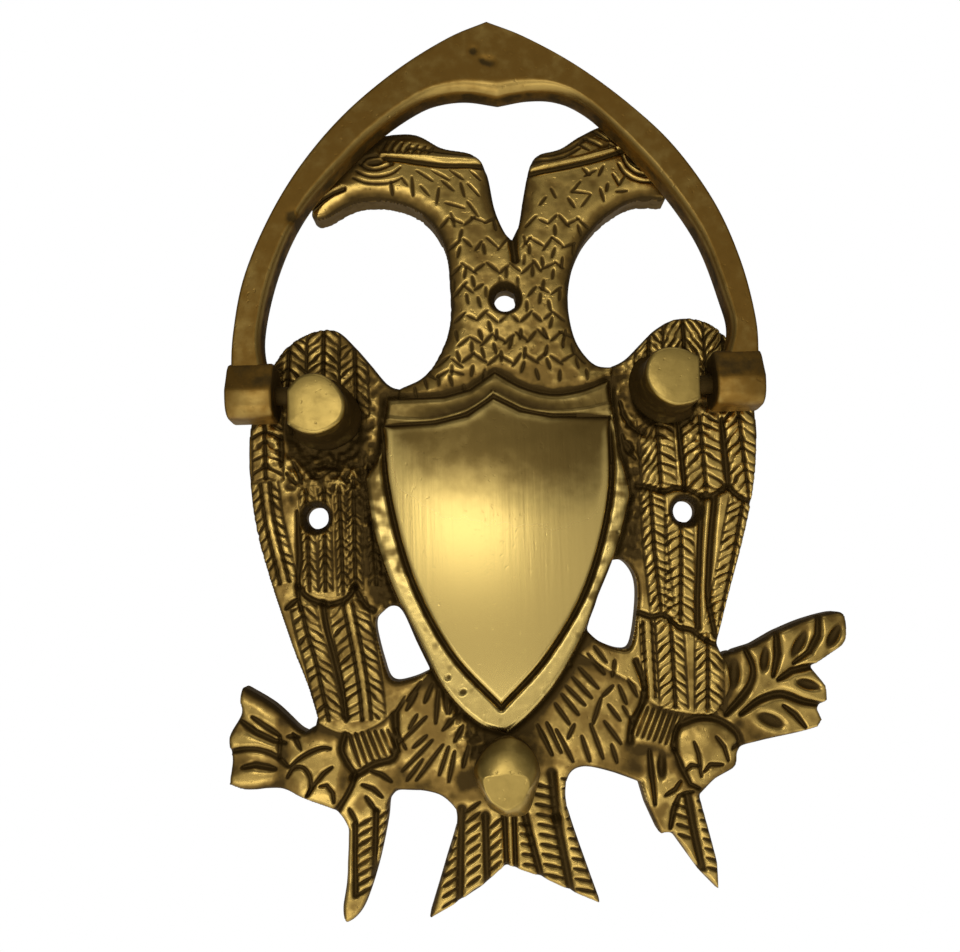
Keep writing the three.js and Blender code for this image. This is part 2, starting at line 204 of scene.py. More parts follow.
# The strike stud: its middle, how far it stands off the door, the depth of its foot at the bottom
# and how much more that is at the top, and the outlines of foot and face from the middle.
STUD_MIDDLE = (-0.5, -57.6)
STUD_DEPTH = 14.0
STUD_FOOT_DEPTH = 6.4
STUD_FOOT_RISE = 4.8
STUD_FOOT = [
    (0, 10.4), (3.2, 9.8), (6.1, 6.6), (7.2, 2.4), (6.4, -1.5), (4.6, -6.5), (3.7, -7.6), (2.2, -6.9),
    (-0.3, -7.3), (-3.9, -5.4), (-5.6, -1.9), (-6.9, 1.3), (-7.1, 3.8), (-5.6, 6.3), (-3.2, 9.1)]
STUD_FACE = [
    (0, 2.8), (4.1, 2.5), (4.8, 0.7), (2.9, -2.6), (-0.2, -4.4), (-3.3, -2.6), (-4.7, -0.2),
    (-5.2, 2.6)]
# Dents in the bail's face: x, z, size and depth.
BAIL_DENTS = [
    (-3.4, 103.5, 0.9, 0.4), (0.4, 100.6, 1.2, 0.45), (-1.2, 101.2, 0.9, 0.35), (-43.8, 65.4, 1.2, 0.6),
    (-30, 78.6, 0.9, 0.3)]


# ---- Curves and distances ----
def spline(points, step=0.8):
    """A smooth curve through the points, as an array of evenly spaced places."""
    knots = np.array(points, float)
    if len(knots) < 5:
        return knots
    padded = np.vstack([2 * knots[0] - knots[1], knots, 2 * knots[-1] - knots[-2]])
    run = []
    for a, b, c, d in zip(padded, padded[1:], padded[2:], padded[3:]):
        t = np.linspace(0, 1, 12, endpoint=False)[:, None]
        run.append(0.5 * (2 * b + (c - a) * t + (2 * a - 5 * b + 4 * c - d) * t**2
                          + (3 * b - a - 3 * c + d) * t**3))
    line = np.vstack(run + [knots[-1:]])
    return resample(line, max(2, math.ceil(length_of(line) / step) + 1))


def length_of(line):
    """How long a line is."""
    return float(np.hypot(*np.diff(line, axis=0).T).sum())


def resample(line, count):
    """The same line with `count` evenly spaced points."""
    steps = np.hypot(*np.diff(line, axis=0).T)
    at = np.concatenate([[0], np.cumsum(steps)])
    want = np.linspace(0, at[-1], count)
    return np.column_stack([np.interp(want, at, line[:, 0]), np.interp(want, at, line[:, 1])])


def chain(stretches):
    """The closed outline of a chain of stretches, without repeated corners."""
    return np.vstack([spline(points)[:-1] for points in stretches])


XS = np.arange(FIELD_LOW[0], FIELD_HIGH[0], CELL)
ZS = np.arange(FIELD_LOW[1], FIELD_HIGH[1], CELL)
GX, GZ = np.meshgrid(XS, ZS, indexing="ij")


def patch(low, high):
    """The slices of the grid that cover a box."""
    i0, j0 = (max(0, int((v - base) / CELL)) for v, base in zip(low, FIELD_LOW))
    i1, j1 = (max(0, int((v - base) / CELL) + 2) for v, base in zip(high, FIELD_LOW))
    return slice(i0, i1), slice(j0, j1)


def distance_to(line, reach=REACH):
    """Distance of each grid point from an open line, no more than `reach`."""
    far = np.full(GX.shape, reach)
    for a, b in zip(line, line[1:]):
        here = patch(np.minimum(a, b) - reach, np.maximum(a, b) + reach)
        dx, dz = GX[here] - a[0], GZ[here] - a[1]
        way = b - a
        t = np.clip((dx * way[0] + dz * way[1]) / max(way @ way, 1e-9), 0, 1)
        far[here] = np.minimum(far[here], np.hypot(dx - t * way[0], dz - t * way[1]))
    return far


def signed_distance(outline):
    """Distance from a closed outline, negative inside, no more than REACH either way."""
    closed = np.vstack([outline, outline[:1]])
    inside = np.zeros(GX.shape, bool)
    for (x0, z0), (x1, z1) in zip(closed, closed[1:]):
        if z0 == z1:
            continue
        first, last = np.searchsorted(ZS, sorted((z0, z1)))
        for j in range(first, last):
            crossing = x0 + (ZS[j] - z0) * (x1 - x0) / (z1 - z0)
            inside[np.searchsorted(XS, crossing):, j] ^= True
    away = distance_to(closed)
    return np.where(inside, -away, away)


def smooth(value, low, high):
    """0 below low, 1 above high, and a smooth step between them."""
    t = np.clip((value - low) / (high - low), 0, 1)
    return t * t * (3 - 2 * t)


def rounded(inside, radius):
    """How far a rounded edge drops, at a distance inside the edge."""
    lack = np.clip(radius - inside, 0, radius)
    return radius - np.sqrt(radius**2 - lack**2)


def blur(field, width):
    """The field averaged over about `width` mm."""
    size = max(1, int(width / CELL / 2))
    for _ in range(2):
        for axis in (0, 1):
            padded = np.pad(field, [(size + 1, size) if a == axis else (0, 0) for a in (0, 1)], mode="edge")
            total = np.cumsum(padded, axis=axis)
            ahead = np.take(total, range(2 * size + 1, total.shape[axis]), axis=axis)
            behind = np.take(total, range(0, total.shape[axis] - 2 * size - 1), axis=axis)
            field = (ahead - behind) / (2 * size + 1)
    return field


# ---- Chasing tools, which work on the relief in place ----
class Relief:
    """The depth of the casting's front at each grid point, and how dark its colour is made there: dirt, and
    painted shade in hollows, creases and under the bail and the stud.
    """

    def __init__(self, depth):
        self.depth = depth
        self.dirt_and_shade = np.zeros_like(depth)
        self.random = np.random.default_rng(7)
        self.grain = self.unevenness(1.3)
        self.depth += 0.038 * self.unevenness(3.5) + 0.012 * self.grain

    def unevenness(self, size):
        """Random waves of about this size, of average height 1."""
        waves = blur(self.random.normal(size=self.depth.shape), size)
        return waves / waves.std()

    def near(self, line, reach):
        """The patch of grid round a line, with distance from it, place along it and side of it."""
        line = np.array(line, float)
        if len(line) > 4:
            line = spline(line, 1.0)
        here = patch(line.min(0) - reach, line.max(0) + reach)
        x, z = GX[here], GZ[here]
        best = np.full(x.shape, 1e9)
        along = np.zeros(x.shape)
        side = np.zeros(x.shape)
        start = 0.0
        last = len(line) - 2
        for n, (a, b) in enumerate(zip(line, line[1:])):
            way = b - a
            size = math.hypot(*way)
            way = way / size
            dx, dz = x - a[0], z - a[1]
            u = dx * way[0] + dz * way[1]
            held = np.clip(u, 0, size)
            away = np.hypot(dx - held * way[0], dz - held * way[1])
            nearer = away < best
            best = np.where(nearer, away, best)
            free = np.clip(u, -99 if n == 0 else 0, 99 if n == last else size)
            along = np.where(nearer, start + free, along)
            side = np.where(nearer, way[0] * dz - way[1] * dx, side)
            start += size
        return here, best, along, -side, start

    def groove(self, line, width=0.9, deep=0.8, taper=False):
        """A cut along a line, which may grow narrow towards both ends."""
        here, away, along, _, total = self.near(line, width * 1.5)
        half = width / 2
        if taper:
            half = half * (0.45 + 0.55 * np.sin(np.clip(along / total, 0, 1) * math.pi) ** 0.7)
        self.depth[here] -= deep * np.exp(-(away / half) ** 2 * 0.9)

    def ridge(self, line, width, high):
        """A raised line."""
        here, away, _, _, _ = self.near(line, width * 1.5)
        self.depth[here] += high * np.exp(-(away / width * 2) ** 2)

    def grooves(self, lines, width=0.9, deep=0.8, taper=True):
        """Several cuts alike."""
        for line in lines:
            self.groove(line, width, deep, taper)

    def dimple(self, centre, size, tilt, deep):
        """An oblong hollow; `tilt` is its long axis in degrees above +X."""
        turn = math.radians(tilt)
        reach = max(size)
        here = patch(np.array(centre) - reach, np.array(centre) + reach)
        dx, dz = GX[here] - centre[0], GZ[here] - centre[1]
        a = (dx * math.cos(turn) + dz * math.sin(turn)) / (size[0] / 2)
        b = (dz * math.cos(turn) - dx * math.sin(turn)) / (size[1] / 2)
        self.depth[here] -= deep * np.exp(-((a * a + b * b) ** 1.6) * 0.8)

    def swell(self, centre, size, tilt, high):
        """A broad rounded lump, the opposite of a dimple."""
        self.dimple(centre, size, tilt, -high)

    def roughen(self, line, width, amount):
        """A rough, as-cast patch along a line."""
        here, away, _, _, _ = self.near(line, width * 1.6)
        cast = SHIELD_AREA[here] > 0
        self.depth[here] += amount * self.grain[here] * np.exp(-(away / width) ** 2 * 1.2) * cast

    def soil_and_shade(self, line, width, amount):
        """Broad dark colour along a line: dirt, and painted shade where the line runs through a hollow or
        under another part.
        """
        here, away, _, _, _ = self.near(line, width * 1.6)
        self.dirt_and_shade[here] = np.maximum(self.dirt_and_shade[here], amount * np.exp(-(away / width) ** 2 * 1.2))

    def vane(self, spine, left, right, pitch=2.0, deep=0.5, shaft="groove"):
        """One feather: a shaft with slanting barbs on each side.

        left and right are (width, slope), the slope being how far a barb falls for each mm outwards.
        """
        reach = max(left[0], right[0]) + 1
        here, away, along, side, total = self.near(spine, reach)
        width = np.where(side < 0, left[0], right[0])
        slope = np.where(side < 0, left[1], right[1])
        out = np.abs(side)
        inside = smooth(width - out, -0.1, 0.35) * smooth(along, -0.2, 0.3) * smooth(total - along, -0.2, 0.3)
        shift = self.random.uniform(0, 1)
        wander = 0.10 * np.sin(along * 1.3 + shift * 9) + 0.05 * np.sin(along * 2.9 + shift * 5)
        phase = (along - slope * out) / pitch + shift + wander
        barb = smooth(np.cos(2 * math.pi * phase), 0.3, 0.98)
        strength = 0.8 + 0.35 * np.sin(along * 0.9 + shift * 20)
        change = 0.2 * (1 - (out / width) ** 2) - deep * barb * strength * smooth(width - out, 0.1, 0.6)
        if shaft == "ridge":
            near_shaft = np.exp(-(out / 0.75) ** 4)
            change = change * (1 - near_shaft) + 0.15 * near_shaft
            change = change - 0.6 * np.exp(-((out - 1.0) / 0.3) ** 2)
        else:
            change = change - 0.65 * np.exp(-(out / 0.36) ** 2)
        change = change - 0.55 * np.exp(-((out - width) / 0.32) ** 2)
        self.depth[here] = np.where(inside > 0, self.depth[here] + change * inside, self.depth[here])


# ---- The eagle's parts ----
def left_wing_feathers(relief):
    """From the lowest row of feathers up to the shoulder."""
    relief.vane([(-44.4, -19), (-43.4, -24), (-41.4, -31), (-39.9, -38), (-38.6, -44)],
                (3.4, 1.1), (2.7, 0.4), 2.2)
    relief.vane([(-34.4, -18), (-33.2, -24), (-31.9, -31), (-30.9, -38), (-30.4, -44)],
                (4.4, 0.95), (4.8, 0.5), 2.1, shaft="ridge")
    relief.groove([(-39.7, -18.5), (-38.9, -24), (-37.4, -30), (-36.1, -36), (-35.0, -43)], 1.2, 1.0)
    relief.vane([(-52.3, 8.5), (-51.4, 1), (-50.4, -4), (-49.2, -9), (-48.0, -14)],
                (3.2, 0.9), (4.6, 0.85), 2.2, shaft="ridge")
    relief.vane([(-43.2, 7), (-42.6, -16)], (2.1, 1.0), (1.7, 1.0), 2.0)
    relief.vane([(-39.2, 7), (-39.1, -16)], (1.8, 1.0), (1.6, 1.0), 2.0)
    relief.vane([(-35.9, 8), (-35.1, -17)], (2.0, 1.0), (1.5, 1.0), 2.0)
    relief.vane([(-32.6, 10), (-32.5, -16)], (1.9, 0.9), (2.1, 0.9), 2.0)
    relief.vane([(-29.2, 12), (-27.8, -15)], (1.6, 0.8), (1.8, 0.8), 2.0)
    relief.groove([
        (-45.2, -14.6), (-43.4, -16.9), (-41, -18.2), (-38.5, -18.8), (-36, -18.5), (-34, -17.2),
        (-32.7, -15)], 1.2, 1.1)
    relief.groove([(-32.7, -15), (-31.5, -17.5), (-30.3, -19.5), (-28.6, -20.4)], 1.2, 1.0)
    relief.grooves([
        [(-44.6, -20), (-45.3, -16), (-44.8, -8), (-45.2, 2)],
        [(-47.8, -19.5), (-45.4, -17.5)]], 1.1, 0.9)
    relief.vane([(-38.8, 43.5), (-39.2, 29)], (3.9, 0.7), (3.9, 0.8), 2.0)
    relief.vane([(-31.9, 39), (-31.8, 23)], (3.1, 0.8), (3.9, 0.8), 2.0)
    relief.vane([(-46.6, 41), (-47.2, 27)], (4.2, 0.7), (3.7, 0.7), 2.1)
    relief.vane([(-52.4, 34), (-52.1, 9)], (4.2, 0.55), (3.2, 0.6), 2.6)
    relief.grooves([
        [(-48.7, 19), (-48.6, 12)], [(-46, 13), (-44, 8)], [(-41, 9), (-38, 10.5)],
        [(-36, 10), (-33.5, 8)], [(-47.5, 10.5), (-45.5, 8)]], 1.0, 0.7)


def right_wing_feathers(relief):
    """From the lowest row of feathers up to the shoulder."""
    relief.vane([(31.3, -24), (31.4, -41)], (1.9, 0.8), (1.9, 0.8), 2.0, shaft="ridge")
    relief.vane([(36.4, -24), (36.6, -43.5)], (3.0, 0.9), (3.6, 0.8), 2.0)
    relief.vane([(44.4, -27), (43.5, -44.5)], (3.9, 0.8), (3.0, 0.9), 2.0)
    relief.vane([(33.3, 5), (33.5, -8), (34.5, -22.6)], (3.3, 0.55), (2.6, 0.9), 2.0)
    relief.vane([(39.8, -1), (39.3, -12), (38.6, -25)], (3.3, 0.65), (3.7, 0.65), 2.1)
    relief.vane([(53.9, 2), (52.2, -5), (50.6, -12), (49, -18), (46.9, -26)],
                (4.6, 0.75), (3.4, 0.9), 2.1)
    relief.grooves([
        [(47.5, 2), (46.3, -6), (45.4, -14), (45.0, -20), (46.2, -28)],
        [(44.9, 2.5), (43.9, -6), (43.2, -14), (42.7, -20), (42.4, -26)]], 1.3, 1.1, False)
    relief.groove([
        (29.5, -22.5), (32.5, -23.5), (34.4, -23.1), (36, -23.7), (38, -25.8), (41, -26.6),
        (42.6, -27.9), (44.5, -29.3), (46.8, -30)], 1.1, 1.0)
    relief.vane([(35.4, 20), (35.7, 4)], (4.0, 0.5), (4.5, 1.3), 2.1)
    relief.vane([(45, 21), (45.7, 3)], (4.5, 0.6), (4.7, 0.75), 2.3)
    relief.vane([(53.6, 24), (54.4, 11), (55.2, 1.5)], (3.6, 0.85), (3.8, 0.9), 2.4)
    relief.grooves([[(40.3, 19.5), (41, 4)], [(50, 20), (50.7, 4)]], 1.2, 1.0)
    relief.groove([
        (30.6, 5.4), (33, 5), (36, 4), (38.5, 4.6), (41.5, 4.4), (44, 3), (46.5, 2.6), (49, 3.8),
        (50.6, 4.8), (52.2, 3), (54, 1.8), (57.4, 0.4)], 1.2, 1.1)
    relief.vane([(42.3, 43.8), (42.5, 30)], (4.8, 1.6), (4.8, 1.6), 2.8)
    relief.vane([(34.6, 40.5), (33.6, 24)], (3.4, 0.9), (3.2, 1.2), 2.2)
    relief.vane([(51, 41), (51.5, 25)], (4, 1.0), (4.5, 1.0), 2.2)
    relief.grooves([
        [(27.4, 24.5), (28.1, 21.5), (29.6, 19), (31.8, 17.2)], [(27.6, 17), (28.3, 14), (30.3, 11.5)],
        [(28.5, 15.5), (30, 13.5)]], 1.0, 0.9)


def zigzag(start, end, teeth, tall):
    """A zigzag line between two points."""
    along = np.linspace(0, 1, int(2 * teeth) + 1)[:, None]
    line = np.array(start) + (np.array(end) - np.array(start)) * along
    line[1::2, 1] += tall
    return line


def neck(relief):
    """Rows of small zigzags with a stroke under most of the teeth."""
    rows = [
        ((-8.6, 38.2), (17.2, 38.8), 5), ((-9, 43.4), (15.6, 43.2), 5), ((-9.2, 49.8), (-2, 50.4), 1.5),
        ((7, 49.4), (15.6, 49.4), 1.5), ((-9.4, 54.9), (16.2, 54.6), 5),
        ((-10, 60.4), (3.4, 60.2), 2.5), ((6.4, 60.2), (18.6, 59.6), 2.5),
        ((-12.2, 65.8), (1, 66), 2.5), ((7.6, 65.2), (22, 64.8), 3), ((-13.5, 33.6), (20, 33.4), 6),
        ((-19, 30.4), (-8, 31), 2)]
    for start, end, teeth in rows:
        line = zigzag(start, end, teeth, 2.1)
        for a, b in zip(line, line[1:]):
            wobble = relief.random.uniform(-0.6, 0.6, 4)
            relief.groove([a + wobble[:2], b + wobble[2:]], FINE, SHALLOW, True)
        for tooth in line:
            foot = tooth + relief.random.uniform(-0.7, 0.7, 2)
            lean = relief.random.uniform(-0.8, 0.8)
            if relief.random.uniform() < 0.75:
                relief.groove([foot + (0, -1.6), foot + (lean, -4.0)], FINE, SHALLOW, True)
    relief.groove([(4.5, 64), (4.6, 61), (4.9, 57.5)], 1.6, 1.4)


def left_head(relief):
    """Crest strokes, brow, eye, cheek strokes and beak."""
    for n in range(7):
        relief.groove([(-25.2 + 1.8 * n, 83.4 - 0.1 * n), (-23.8 + 1.8 * n, 86.3 - 0.25 * n)],
                      FINE, SHALLOW, True)
    relief.ridge([(-25, 83.0), (-18, 82.6), (-10, 81.9), (-5, 81.6), (-1.8, 81.0)], 1.3, 0.5)
    relief.groove([(-24, 82.2), (-20, 81.6), (-12, 80.2), (-6, 79.9), (-1.2, 79.7)], 1.0, 0.9)
    relief.groove([(-19, 84.6), (-12, 83.6), (-4, 82.4)], FINE, SHALLOW)
    relief.groove([(-29.8, 81), (-28.4, 82.4), (-26, 82.8), (-23.6, 81.9), (-22.6, 80.8)],
                  FINE, SHALLOW)
    relief.groove([(-29.8, 81), (-28.2, 79.9), (-26, 79.6), (-24, 80.2), (-22.6, 80.8)], FINE, SHALLOW)
    relief.dimple((-26.3, 81.2), (3, 1.1), 8, 0.5)
    relief.grooves([
        [(-30.8, 79.4), (-28.5, 78.2), (-25.5, 77.9), (-22.5, 78.6), (-20.6, 80)],
        [(-31.5, 77.8), (-28.8, 76.6), (-25.2, 76.3), (-22.4, 76.6), (-20.4, 77.4)]], FINE, SHALLOW)
    relief.grooves([
        [(-22.9, 76.7), (-22.6, 73.6)], [(-18.1, 77.6), (-17.9, 73.2)], [(-20.4, 77.4), (-19.2, 75.6)],
        [(-16.2, 75.4), (-14.3, 73)], [(-12, 74.8), (-12.6, 71)], [(-17, 79), (-13.4, 76.4)],
        [(-13.6, 79), (-9.6, 76.6)], [(-9.4, 79), (-6.4, 76.6)], [(-11.4, 76.6), (-8.6, 74)],
        [(-7, 76), (-6.2, 72.4)], [(-5.4, 75.6), (-2.8, 72.6)], [(-4.8, 78.8), (-2.4, 76.4)],
        [(-10.6, 71.2), (-6.4, 69.8)], [(-5.6, 71.4), (-3.2, 67.8)],
        [(-9.4, 68.8), (-8.6, 65.6)]], FINE, SHALLOW)
    relief.groove([(-40.8, 71.2), (-38, 73.2), (-36, 74.4), (-33.8, 75.2)], 0.85, 0.7)
    # Painted shadow of the bail's arm along the head's upper edge.
    relief.soil_and_shade([(-39, 76), (-33, 80.5), (-28, 84), (-25, 86.5)], 3.4, 0.9)


def right_head(relief):
    """Crest strokes, brow, eye and cheek strokes."""
    relief.grooves([
        [(21.6, 85.8), (25.4, 83.6)], [(23.6, 87.6), (27, 85)], [(20.2, 84.6), (22.6, 82.8)],
        [(26, 87.2), (29.4, 84.4)], [(27.4, 84), (30, 82.2)]], FINE, SHALLOW)
    relief.groove([(9.8, 80.8), (13.5, 80.7), (17, 81.4), (20.4, 83.4)], FINE, SHALLOW)
    relief.groove([(11, 82), (14.5, 82.2), (18.5, 83.4), (22, 85.6)], FINE, SHALLOW)
    relief.ridge([(9.2, 78.8), (14, 79.6), (20.5, 80.8), (25, 82), (29.5, 83.2)], 1.3, 0.5)
    relief.groove([(8.6, 77.6), (14, 78.4), (20.6, 79.6), (25, 80.6), (30, 82.2)], 1.0, 0.9)
    relief.grooves([
        [(30.2, 81.4), (31.2, 79), (33.2, 77.2), (36, 76.4), (39, 76.4)],
        [(29.2, 79.4), (30.6, 77), (33, 75.4), (36, 74.9), (39.4, 75)]], FINE, SHALLOW)
    relief.dimple((33.6, 80.2), (4.2, 2.6), -35, 1.0)
    relief.grooves([
        [(21, 78.6), (22.6, 76.8)], [(25.8, 79), (24.6, 76.6)], [(24, 78), (21.4, 76.6)],
        [(20.4, 75.4), (18.4, 73), (22.4, 72.4)], [(24.8, 73.6), (25.6, 70.6)],
        [(27.8, 77), (29.2, 74.4), (30.6, 76.4)], [(22.6, 72.2), (20.4, 69.4)],
        [(28.4, 72.8), (31, 73)], [(17.4, 71.6), (18.8, 69.2)], [(12.4, 72), (10.8, 70)],
        [(13.6, 74), (14.6, 71.6)], [(26.6, 74.8), (26.2, 72.8)]], FINE, SHALLOW)
    # Painted shadow of the bail's arm along the head's upper edge.
    relief.soil_and_shade([(39.6, 76), (36, 80.8), (31.5, 84.6)], 3.2, 0.9)


def shield_lines(relief):
    """The lip above the panel and a few casting pits in the border."""
    relief.ridge([(-25.6, 21.9), (-20, 21.2), (-14, 21.3), (-7.6, 22.9), (-3.4, 25.1), (-1, 27.1)],
                 0.8, 0.45)
    relief.ridge([(-1, 27.1), (3, 24.8), (6.6, 23.1), (12, 22.2), (19, 22.4), (24.8, 23.6)], 0.8, 0.45)
    pits = [
        (-26.6, -12.2, 1.2), (-25.3, -14.6, 0.9), (-21.6, -25.2, 1.1), (-12.6, -35.2, 1.3),
        (-9.4, -38.4, 1.5), (14.2, -33.6, 0.9), (25.6, -4.8, 0.7), (-24.5, -19.8, 0.8)]
    for x, z, size in pits:
        relief.dimple((x, z), (size, size * 0.8), 30, 0.35)


def swellings(relief):
    """The rounded bodies under the chasing."""
    lumps = [
        ((-15.5, -46), (20, 26), 60, 0.9), ((18, -43), (20, 26), -60, 0.9),
        ((-40.5, -54.8), (14, 15), 0, 1.2), ((43, -52.4), (13, 12), 0, 1.2),
        ((33.2, -60), (6, 17), 97, 0.8), ((-29.6, -49.6), (10, 8), 20, 0.7),
        ((31, -47.5), (11, 8), -20, 0.7), ((-55, -41.5), (10, 4), -35, 0.6),
        ((-55, -48.5), (11, 4), -15, 0.6), ((-55.5, -55.5), (11, 4), 5, 0.6),
        ((-31, -74), (5, 20), 88, 0.4), ((51, -37), (5, 12), 90, 0.6), ((57, -34), (5, 10), 80, 0.6),
        ((64.5, -31), (6, 10), 60, 0.6), ((72, -29), (6, 9), 60, 0.6), ((65, -39), (11, 5), -12, 0.6),
        ((57.5, -46), (11, 5), -20, 0.6)]
    for centre, size, tilt, high in lumps:
        relief.swell(centre, size, tilt, high)


def legs(relief):
    """Short strokes on the thighs and bands above the claws."""
    relief.grooves([
        [(-18.5, -36), (-21.5, -40)], [(-22, -39), (-24, -42.5)], [(-16, -36.5), (-17.8, -40.5)],
        [(-14.8, -38), (-15.5, -45)], [(-19.5, -43), (-21.3, -46)], [(-17.5, -43.5), (-23.5, -49)],
        [(-17.5, -47.5), (-20.5, -50)], [(-16.3, -48.5), (-23, -55)], [(-14, -49.5), (-20, -57)],
        [(-12.8, -50), (-15, -56)], [(-11.5, -51), (-13, -57.5)], [(-13.5, -38.5), (-13, -43)],
        [(-11.5, -40), (-12.5, -43)], [(-10.5, -43), (-14, -46.5)], [(-19.5, -38.5), (-21.8, -42)],
        [(-9.5, -45.5), (-11.5, -49)], [(-18.5, -52.5), (-22, -57)],
        [(-8.5, -50), (-9.8, -54.5)]], 0.85, 0.52)
    relief.grooves([
        [(19.5, -29.5), (22, -33)], [(18, -31), (21.5, -35.5)], [(16, -34), (20, -38.5)],
        [(14.5, -36), (18.5, -40.5)], [(13, -37.8), (17, -42)], [(12, -39.5), (15.5, -44)],
        [(10.5, -41.5), (13.5, -46)], [(23.8, -32.5), (23.2, -36)], [(23.2, -38), (20.8, -40.2)],
        [(20.5, -40.5), (18.5, -46)], [(24.5, -38), (26, -42)], [(26.5, -36.5), (28.5, -40.5)],
        [(22, -42), (24.5, -45.5)], [(21, -45.5), (24.5, -50.5)], [(25.2, -42.5), (27.5, -46.5)],
        [(18, -46), (20.5, -53.5)], [(6.5, -46), (9.5, -52.5)], [(8.5, -45.5), (11.5, -52)],
        [(10.5, -47), (14, -54)], [(14.5, -46), (13, -49)], [(22.4, -50.5), (23.5, -54.5)],
        [(16, -48.5), (17.6, -54)]], 0.85, 0.52)
    relief.groove([(28.5, -33), (30, -38), (29.5, -42), (27, -46), (26.5, -50)], 1.3, 1.1)
    for n in range(8):
        x = -34.4 + 1.42 * n
        relief.groove([(x, -46.6 + 0.1 * n), (x + 2.4, -53.8 + 0.5 * n)], 0.75, 0.6, True)
    for n in range(8):
        x = 29.4 + 1.25 * n
        relief.groove([(x, -42.4 - 0.35 * n), (x - 2.8, -48.4 - 0.4 * n)], 0.75, 0.6, True)
    relief.groove([(-24.3, -43), (-24.2, -49), (-25, -52.2), (-29, -53.4), (-33.8, -56)], 1.4, 1.1)
    # Dirt and painted shade in the hollows on both sides of the shield's point and along the left leg's outer
    # groove.
    relief.soil_and_shade([(-6, -44), (-7, -50), (-9, -57)], 3.6, 0.75)
    relief.soil_and_shade([(5, -47), (7, -53), (12, -56)], 2.4, 0.5)
    relief.soil_and_shade([(-24.5, -43), (-24.3, -52), (-22, -56)], 1.6, 0.6)


def claws(relief):
    """The claws round the bundle and the sprig, and the bundle's ends."""
    relief.grooves([
        [(-35.2, -46.8), (-36, -50), (-34.7, -53), (-33.4, -55.6), (-34.6, -59),
         (-37.4, -63.2)]], 1.1, 0.95, False)
    relief.grooves([
        [(-47.2, -53.4), (-45, -51.6), (-42.4, -50.2), (-40, -49.5), (-38.4, -49.7)],
        [(-47.8, -55.6), (-46.4, -53.6), (-44.2, -53.6), (-42.8, -55.6), (-42.8, -58), (-43.8, -59.8)],
        [(-38, -53.6), (-39.8, -54.8), (-41.6, -56.8), (-43.4, -59.6)],
        [(-40.8, -57.6), (-39.2, -57.4), (-38, -59), (-37.8, -61.2)]], 0.9, 0.75)
    relief.grooves([
        [(-58, -43.4), (-54.6, -46), (-50.6, -47.9), (-48.2, -48.4)],
        [(-55.4, -42.6), (-52.4, -44.8), (-49.6, -46.8)],
        [(-61, -50.1), (-56.4, -49.4), (-52.5, -50), (-49.6, -51.6), (-47.6, -53.4)],
        [(-57.6, -53.4), (-54.8, -52.9), (-50.4, -53.8)]], 1.2, 0.85)
    relief.grooves([
        [(-49.4, -46.8), (-49.6, -51.8)], [(-46.6, -46.4), (-44.8, -49.8)],
        [(-47.8, -47), (-45.2, -47.2)]], 0.85, 0.7)
    relief.grooves([
        [(-29.8, -54.8), (-27.6, -55.6), (-25.4, -57.2)],
        [(-31.8, -57.6), (-29.4, -58.6), (-27.4, -60.4)], [(-31, -60.2), (-28.8, -63.4)],
        [(-34.6, -62.6), (-33, -65.8)]], 0.85, 0.7)
    relief.grooves([
        [(36, -52), (36.6, -47.8), (39.6, -46), (43, -45.4), (46.6, -46.4), (49.6, -48.8),
         (50.4, -51.4)]], 1.3, 1.0, False)
    relief.grooves([
        [(40.2, -50.4), (41, -53), (41.4, -57.8)], [(45, -49.4), (46.6, -51.6), (47.4, -54.6)],
        [(38.2, -56.4), (39.4, -55.3), (41, -55.6)], [(42, -56.8), (43.4, -55.3), (46.2, -55.4)],
        [(48.4, -52.2), (50, -51)]], 0.9, 0.75)
    relief.grooves([
        [(36, -52), (37.4, -56), (39, -59.4), (41, -60.4)], [(30.6, -52), (30.9, -58), (31.3, -63.5)],
        [(37, -58.6), (35.8, -60.4), (33.6, -61.6)],
        [(39.6, -61), (36.6, -61.8), (35.3, -65), (34.4, -68.6)]], 1.1, 0.95)
    relief.dimple((33.1, -55.4), (1.5, 4.4), -4, 1.0)
    # Dirt and painted shade in the hollows along the claws and between them.
    for line in [[(26, -51), (31, -52), (36, -53), (38, -59)], [(-49, -44), (-48.5, -53), (-50, -58)],
                 [(-36, -47), (-35, -54), (-37, -62)], [(50, -47), (51, -51)], [(38, -60), (42, -61)]]:
        relief.soil_and_shade(line, 1.8, 0.7)


